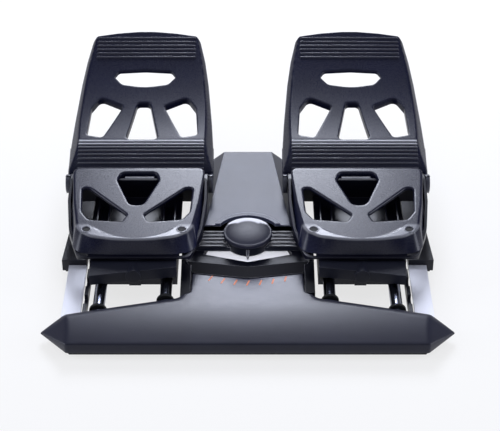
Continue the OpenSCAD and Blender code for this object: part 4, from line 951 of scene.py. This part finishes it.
def stop_painted_highlight(points):
    """A painted highlight on the crescent and on the rims of the pockets, and none on the front
    face.
    """
    x, y, z = points.T
    on_stop = smooth_step((from_cup(x, y) + CUP_INSIDE) / CUP_OVER)
    on_stop = on_stop * smooth_step((STOP_HIGHLIGHT_Y - y) / STOP_HIGHLIGHT_OVER)
    pocket = np.hypot(np.abs(x) - SCREW_X, y - SCREW_Y)
    rim = smooth_step((RIM_R - pocket) / RIM_OVER)
    bare = (pocket > MOUTH_R) * (z > STOP_TOP - STOP_HIGHLIGHT_DEPTH)
    return STOP_HIGHLIGHT * np.maximum(on_stop, rim) * bare


def make_heel_plates():
    """Both heel plates, with finer rows where the stop meets the cup."""
    side_hole = spaced(rounded(on_heel(HEEL_HOLE), HEEL_HOLE_R), HEEL_HOLE_STEP)
    shield = spaced(rounded(both_halves(on_heel(SHIELD_HOLE)), SHIELD_R + SHIELD_R[::-1]),
                    HEEL_HOLE_STEP)
    rings = [heel_hole_rings(hole) for hole in (shield, side_hole, side_hole[::-1] * (-1, 1))]
    rings += [screw_pocket_rings(SCREW_X), screw_pocket_rings(-SCREW_X)]
    parts = shell(heel_height, heel_outer_rings(), rings, heel_under,
                  np.arange(-62.4, 62.5, 0.9), places((-90, -66, 0.5), (-65.4, 15, 1.4)))
    for word, side in SIDES:
        piece = add_piece("heel_shell_" + word, "pedal_" + word, "pedal_navy", [parts],
                          side, PEDAL_X, painted_highlight=stop_painted_highlight)
        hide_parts("heel_plate_" + word)
        print(piece.name, len(piece.data.vertices), "points")


make_heel_plates()

# %% [markdown]
# The footplate is a broad plate with pointed ends. Its top rises from the front edge in a
# crown, a sloped facet closes each end, and the wings' rear edge rolls off. Between the
# wings the plate runs back level as the dial's surface, up to the bridge's foot.

# %% Footplate
FRONT_Y, PLATE_TOP, PLATE_FOOT = -192.5, 22.4, 6.05
FRONT_CORNER, WING_IN, WING_OUT = (160, FRONT_Y), (64, -130.7), (163.4, -153.9)
PLATE_EDGE = [FRONT_CORNER, (185, -165.8), (185, -164.2), WING_OUT, WING_IN, (52, -124.8),
              (51, -96.9)]
PLATE_R = [2, 0.7, 0.7, 3, 4, 3, 1.5]
# The corner of the shallow V at the bridge's foot
NOTCH, NOTCH_R = (0, -105.0), 5
FRONT_CORNER_Z, TIP = 16.5, (185, -165, 8)
FACET = np.array([(*WING_OUT, PLATE_TOP), (*FRONT_CORNER, FRONT_CORNER_Z), TIP])
FACET_SOFT = 1.2
CROWN_DEPTH, CROWN_FALL = 52, 5.9
ROLL_OFF_DEPTH, ROLL_OFF_FALL, ROLL_OFF_X, ROLL_OFF_OVER = 9, 2.4, 56, 10
PLATE_STEP, PLATE_UNDER_STEP = 1.4, 6


def facet(x, y):
    """The plane of an end facet, through two corners of the top and the tip."""
    a, b, c = FACET
    across = np.cross(b - a, c - a)
    return a[2] - (across[0] * (np.abs(x) - a[0]) + across[1] * (y - a[1])) / across[2]


def plate_height(x, y):
    """The crown falls with the square of the distance from its top, and the roll-off with the
    square of the nearness to the wing's rear edge."""
    ahead = 1 - np.clip((y - FRONT_Y) / CROWN_DEPTH, 0, 1)
    crown = PLATE_TOP - CROWN_FALL * ahead ** 2
    (x0, y0), (x1, y1) = WING_IN, WING_OUT
    length = np.hypot(x1 - x0, y1 - y0)
    inside = ((np.abs(x) - x0) * (y1 - y0) - (y - y0) * (x1 - x0)) / length
    near = 1 - np.clip(inside / ROLL_OFF_DEPTH, 0, 1)
    on_wing = smooth_step((np.abs(x) - ROLL_OFF_X) / ROLL_OFF_OVER)
    return soft_min(crown, facet(x, y), FACET_SOFT) - ROLL_OFF_FALL * near ** 2 * on_wing


def make_footplate():
    """The top sheet, a rounded edge, a straight wall and a flat underside."""
    edge = PLATE_EDGE + [NOTCH] + [(-x, y) for x, y in PLATE_EDGE[::-1]]
    outline = spaced(rounded(edge, PLATE_R + [NOTCH_R] + PLATE_R[::-1]), PLATE_STEP)
    rings = (rings_at(plate_height, outline, [(-1.3, 0), (-0.7, -0.12), (-0.2, -0.5), (0, -1.2)])
             + rings_at(constant(0), outline, [(0, 7.2), (-0.3, 6.4), (-1.2, PLATE_FOOT)]))
    ys = places((FRONT_Y + 1, -157, 2), (-157, -120, 0.9), (-119, -96, 2))
    parts = shell(plate_height, rings, [], constant(PLATE_FOOT), np.arange(-184, 185, 2.0), ys,
                  PLATE_UNDER_STEP)
    plate = add_piece("footplate", "base", "plate_grey", [parts])
    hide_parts("front_plate")
    print("footplate", len(plate.data.vertices), "points")


make_footplate()

# %% [markdown]
# The cap over the pivot is turned: one profile of radius and height carried round its axis.
# A needle leaves it at the front and points at the scale on the footplate, where seven short
# orange marks are printed. The marks are thin raised strips, so that they are shapes as well.

# %% Hub cap
PIVOT_Y = -60.0
CAP_PROFILE = [(0, 46.4), (4, 46.35), (9, 46.0), (13, 45.5), (16.5, 44.85), (19, 44.2),
               (20.6, 43.6), (21.2, 43.45), (21.7, 43.5), (22.2, 43.45), (22.6, 43.2),
               (22.9, 42.7), (23.0, 42.0), (22.9, 40.4), (22.5, 39.6), (21.8, 39.3), (16, 39.2),
               (9, 38.4), (7, 38.2), (0, 38.2)]
CRESCENT_Y, CRESCENT_R, CRESCENT_SOFT = 11, 13, 2
TURN_STEPS = 96


def turned(profile):
    """A profile of (radius, height) carried round the pivot: x = r cos u, y = r sin u. The
    profile starts and ends on the axis, and each end is one point."""
    count, rim = TURN_STEPS, profile[1:-1]
    rings = np.vstack([np.column_stack([circle(0, PIVOT_Y, radius, count), np.full(count, z)])
                       for radius, z in rim])
    points = np.vstack([rings, [(0, PIVOT_Y, profile[k][1]) for k in (0, -1)]])
    column = np.arange(count)
    after = (column + 1) % count
    bands = np.concatenate([np.column_stack([k * count + column, (k + 1) * count + column,
                                             (k + 1) * count + after, k * count + after])
                            for k in range(len(rim) - 1)])
    end = (len(rim) - 1) * count
    first = np.column_stack([np.full(count, len(rings)), column, after])
    final = np.column_stack([np.full(count, len(rings) + 1), end + after, end + column])
    return points, bands.tolist() + first.tolist() + final.tolist()


def cap_painted_reflection(points):
    """A painted reflection: a bright crescent along the rear of the cap's rim."""
    x, back = points[:, 0], points[:, 1] - PIVOT_Y
    return (smooth_step((back - CRESCENT_Y) / CRESCENT_SOFT)
            * smooth_step((np.hypot(x, back) - CRESCENT_R) / CRESCENT_SOFT))


cap = add_piece("turned_cap", "lever", "cap_dark", [turned(CAP_PROFILE)], painted_highlight=cap_painted_reflection)
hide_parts("hub_cap")
print("cap", len(cap.data.vertices), "points")

# %% Scale marks
MARK_HALF, MARK_LENGTH, MARK_CORNER, MARK_RISE, MARK_SUNK = 0.8, 7.5, 0.4, 0.15, 0.3
MARK_EDGE, MARK_STEP = 0.05, 0.4
# The marks stand on a shallow arc, and lean to the right, those on the left most
MARK_XS = np.linspace(-36, 34, 7)
MARK_YS = -115.5 + MARK_XS ** 2 * 0.0055
MARK_LEANS = 2.4 - MARK_XS * 0.03


def slab(outline, low, high):
    """A flat slab between two heights, with a 0.05 mm bevel round its upper edge."""
    count = len(outline)
    points = np.vstack([np.column_stack([moved_out(outline, -MARK_EDGE), np.full(count, high)]),
                        np.column_stack([outline, np.full(count, high - MARK_EDGE)]),
                        np.column_stack([outline, np.full(count, low)])])
    here = np.arange(count)
    after = np.roll(here, -1)
    band = np.column_stack([after, here, here + count, after + count])
    bands = np.concatenate([band, band + count])
    return points, bands.tolist() + [here.tolist(), (here[::-1] + 2 * count).tolist()]


def make_marks():
    """Seven slanted strips fanned over 70 mm, each 1.6 mm wide, 7.5 mm long and 0.15 mm proud."""
    parts = []
    for x, y, lean in zip(MARK_XS, MARK_YS, MARK_LEANS):
        corners = [(x - MARK_HALF, y), (x + MARK_HALF, y),
                   (x + lean + MARK_HALF, y + MARK_LENGTH), (x + lean - MARK_HALF, y + MARK_LENGTH)]
        outline = spaced(rounded(corners, MARK_CORNER, 4), MARK_STEP)
        parts.append(slab(outline, PLATE_TOP - MARK_SUNK, PLATE_TOP + MARK_RISE))
    marks = add_piece("scale_marks", "base", "plate_grey", parts)
    marks.data.materials[0] = orange
    return marks


print("marks", len(make_marks().data.vertices), "points")
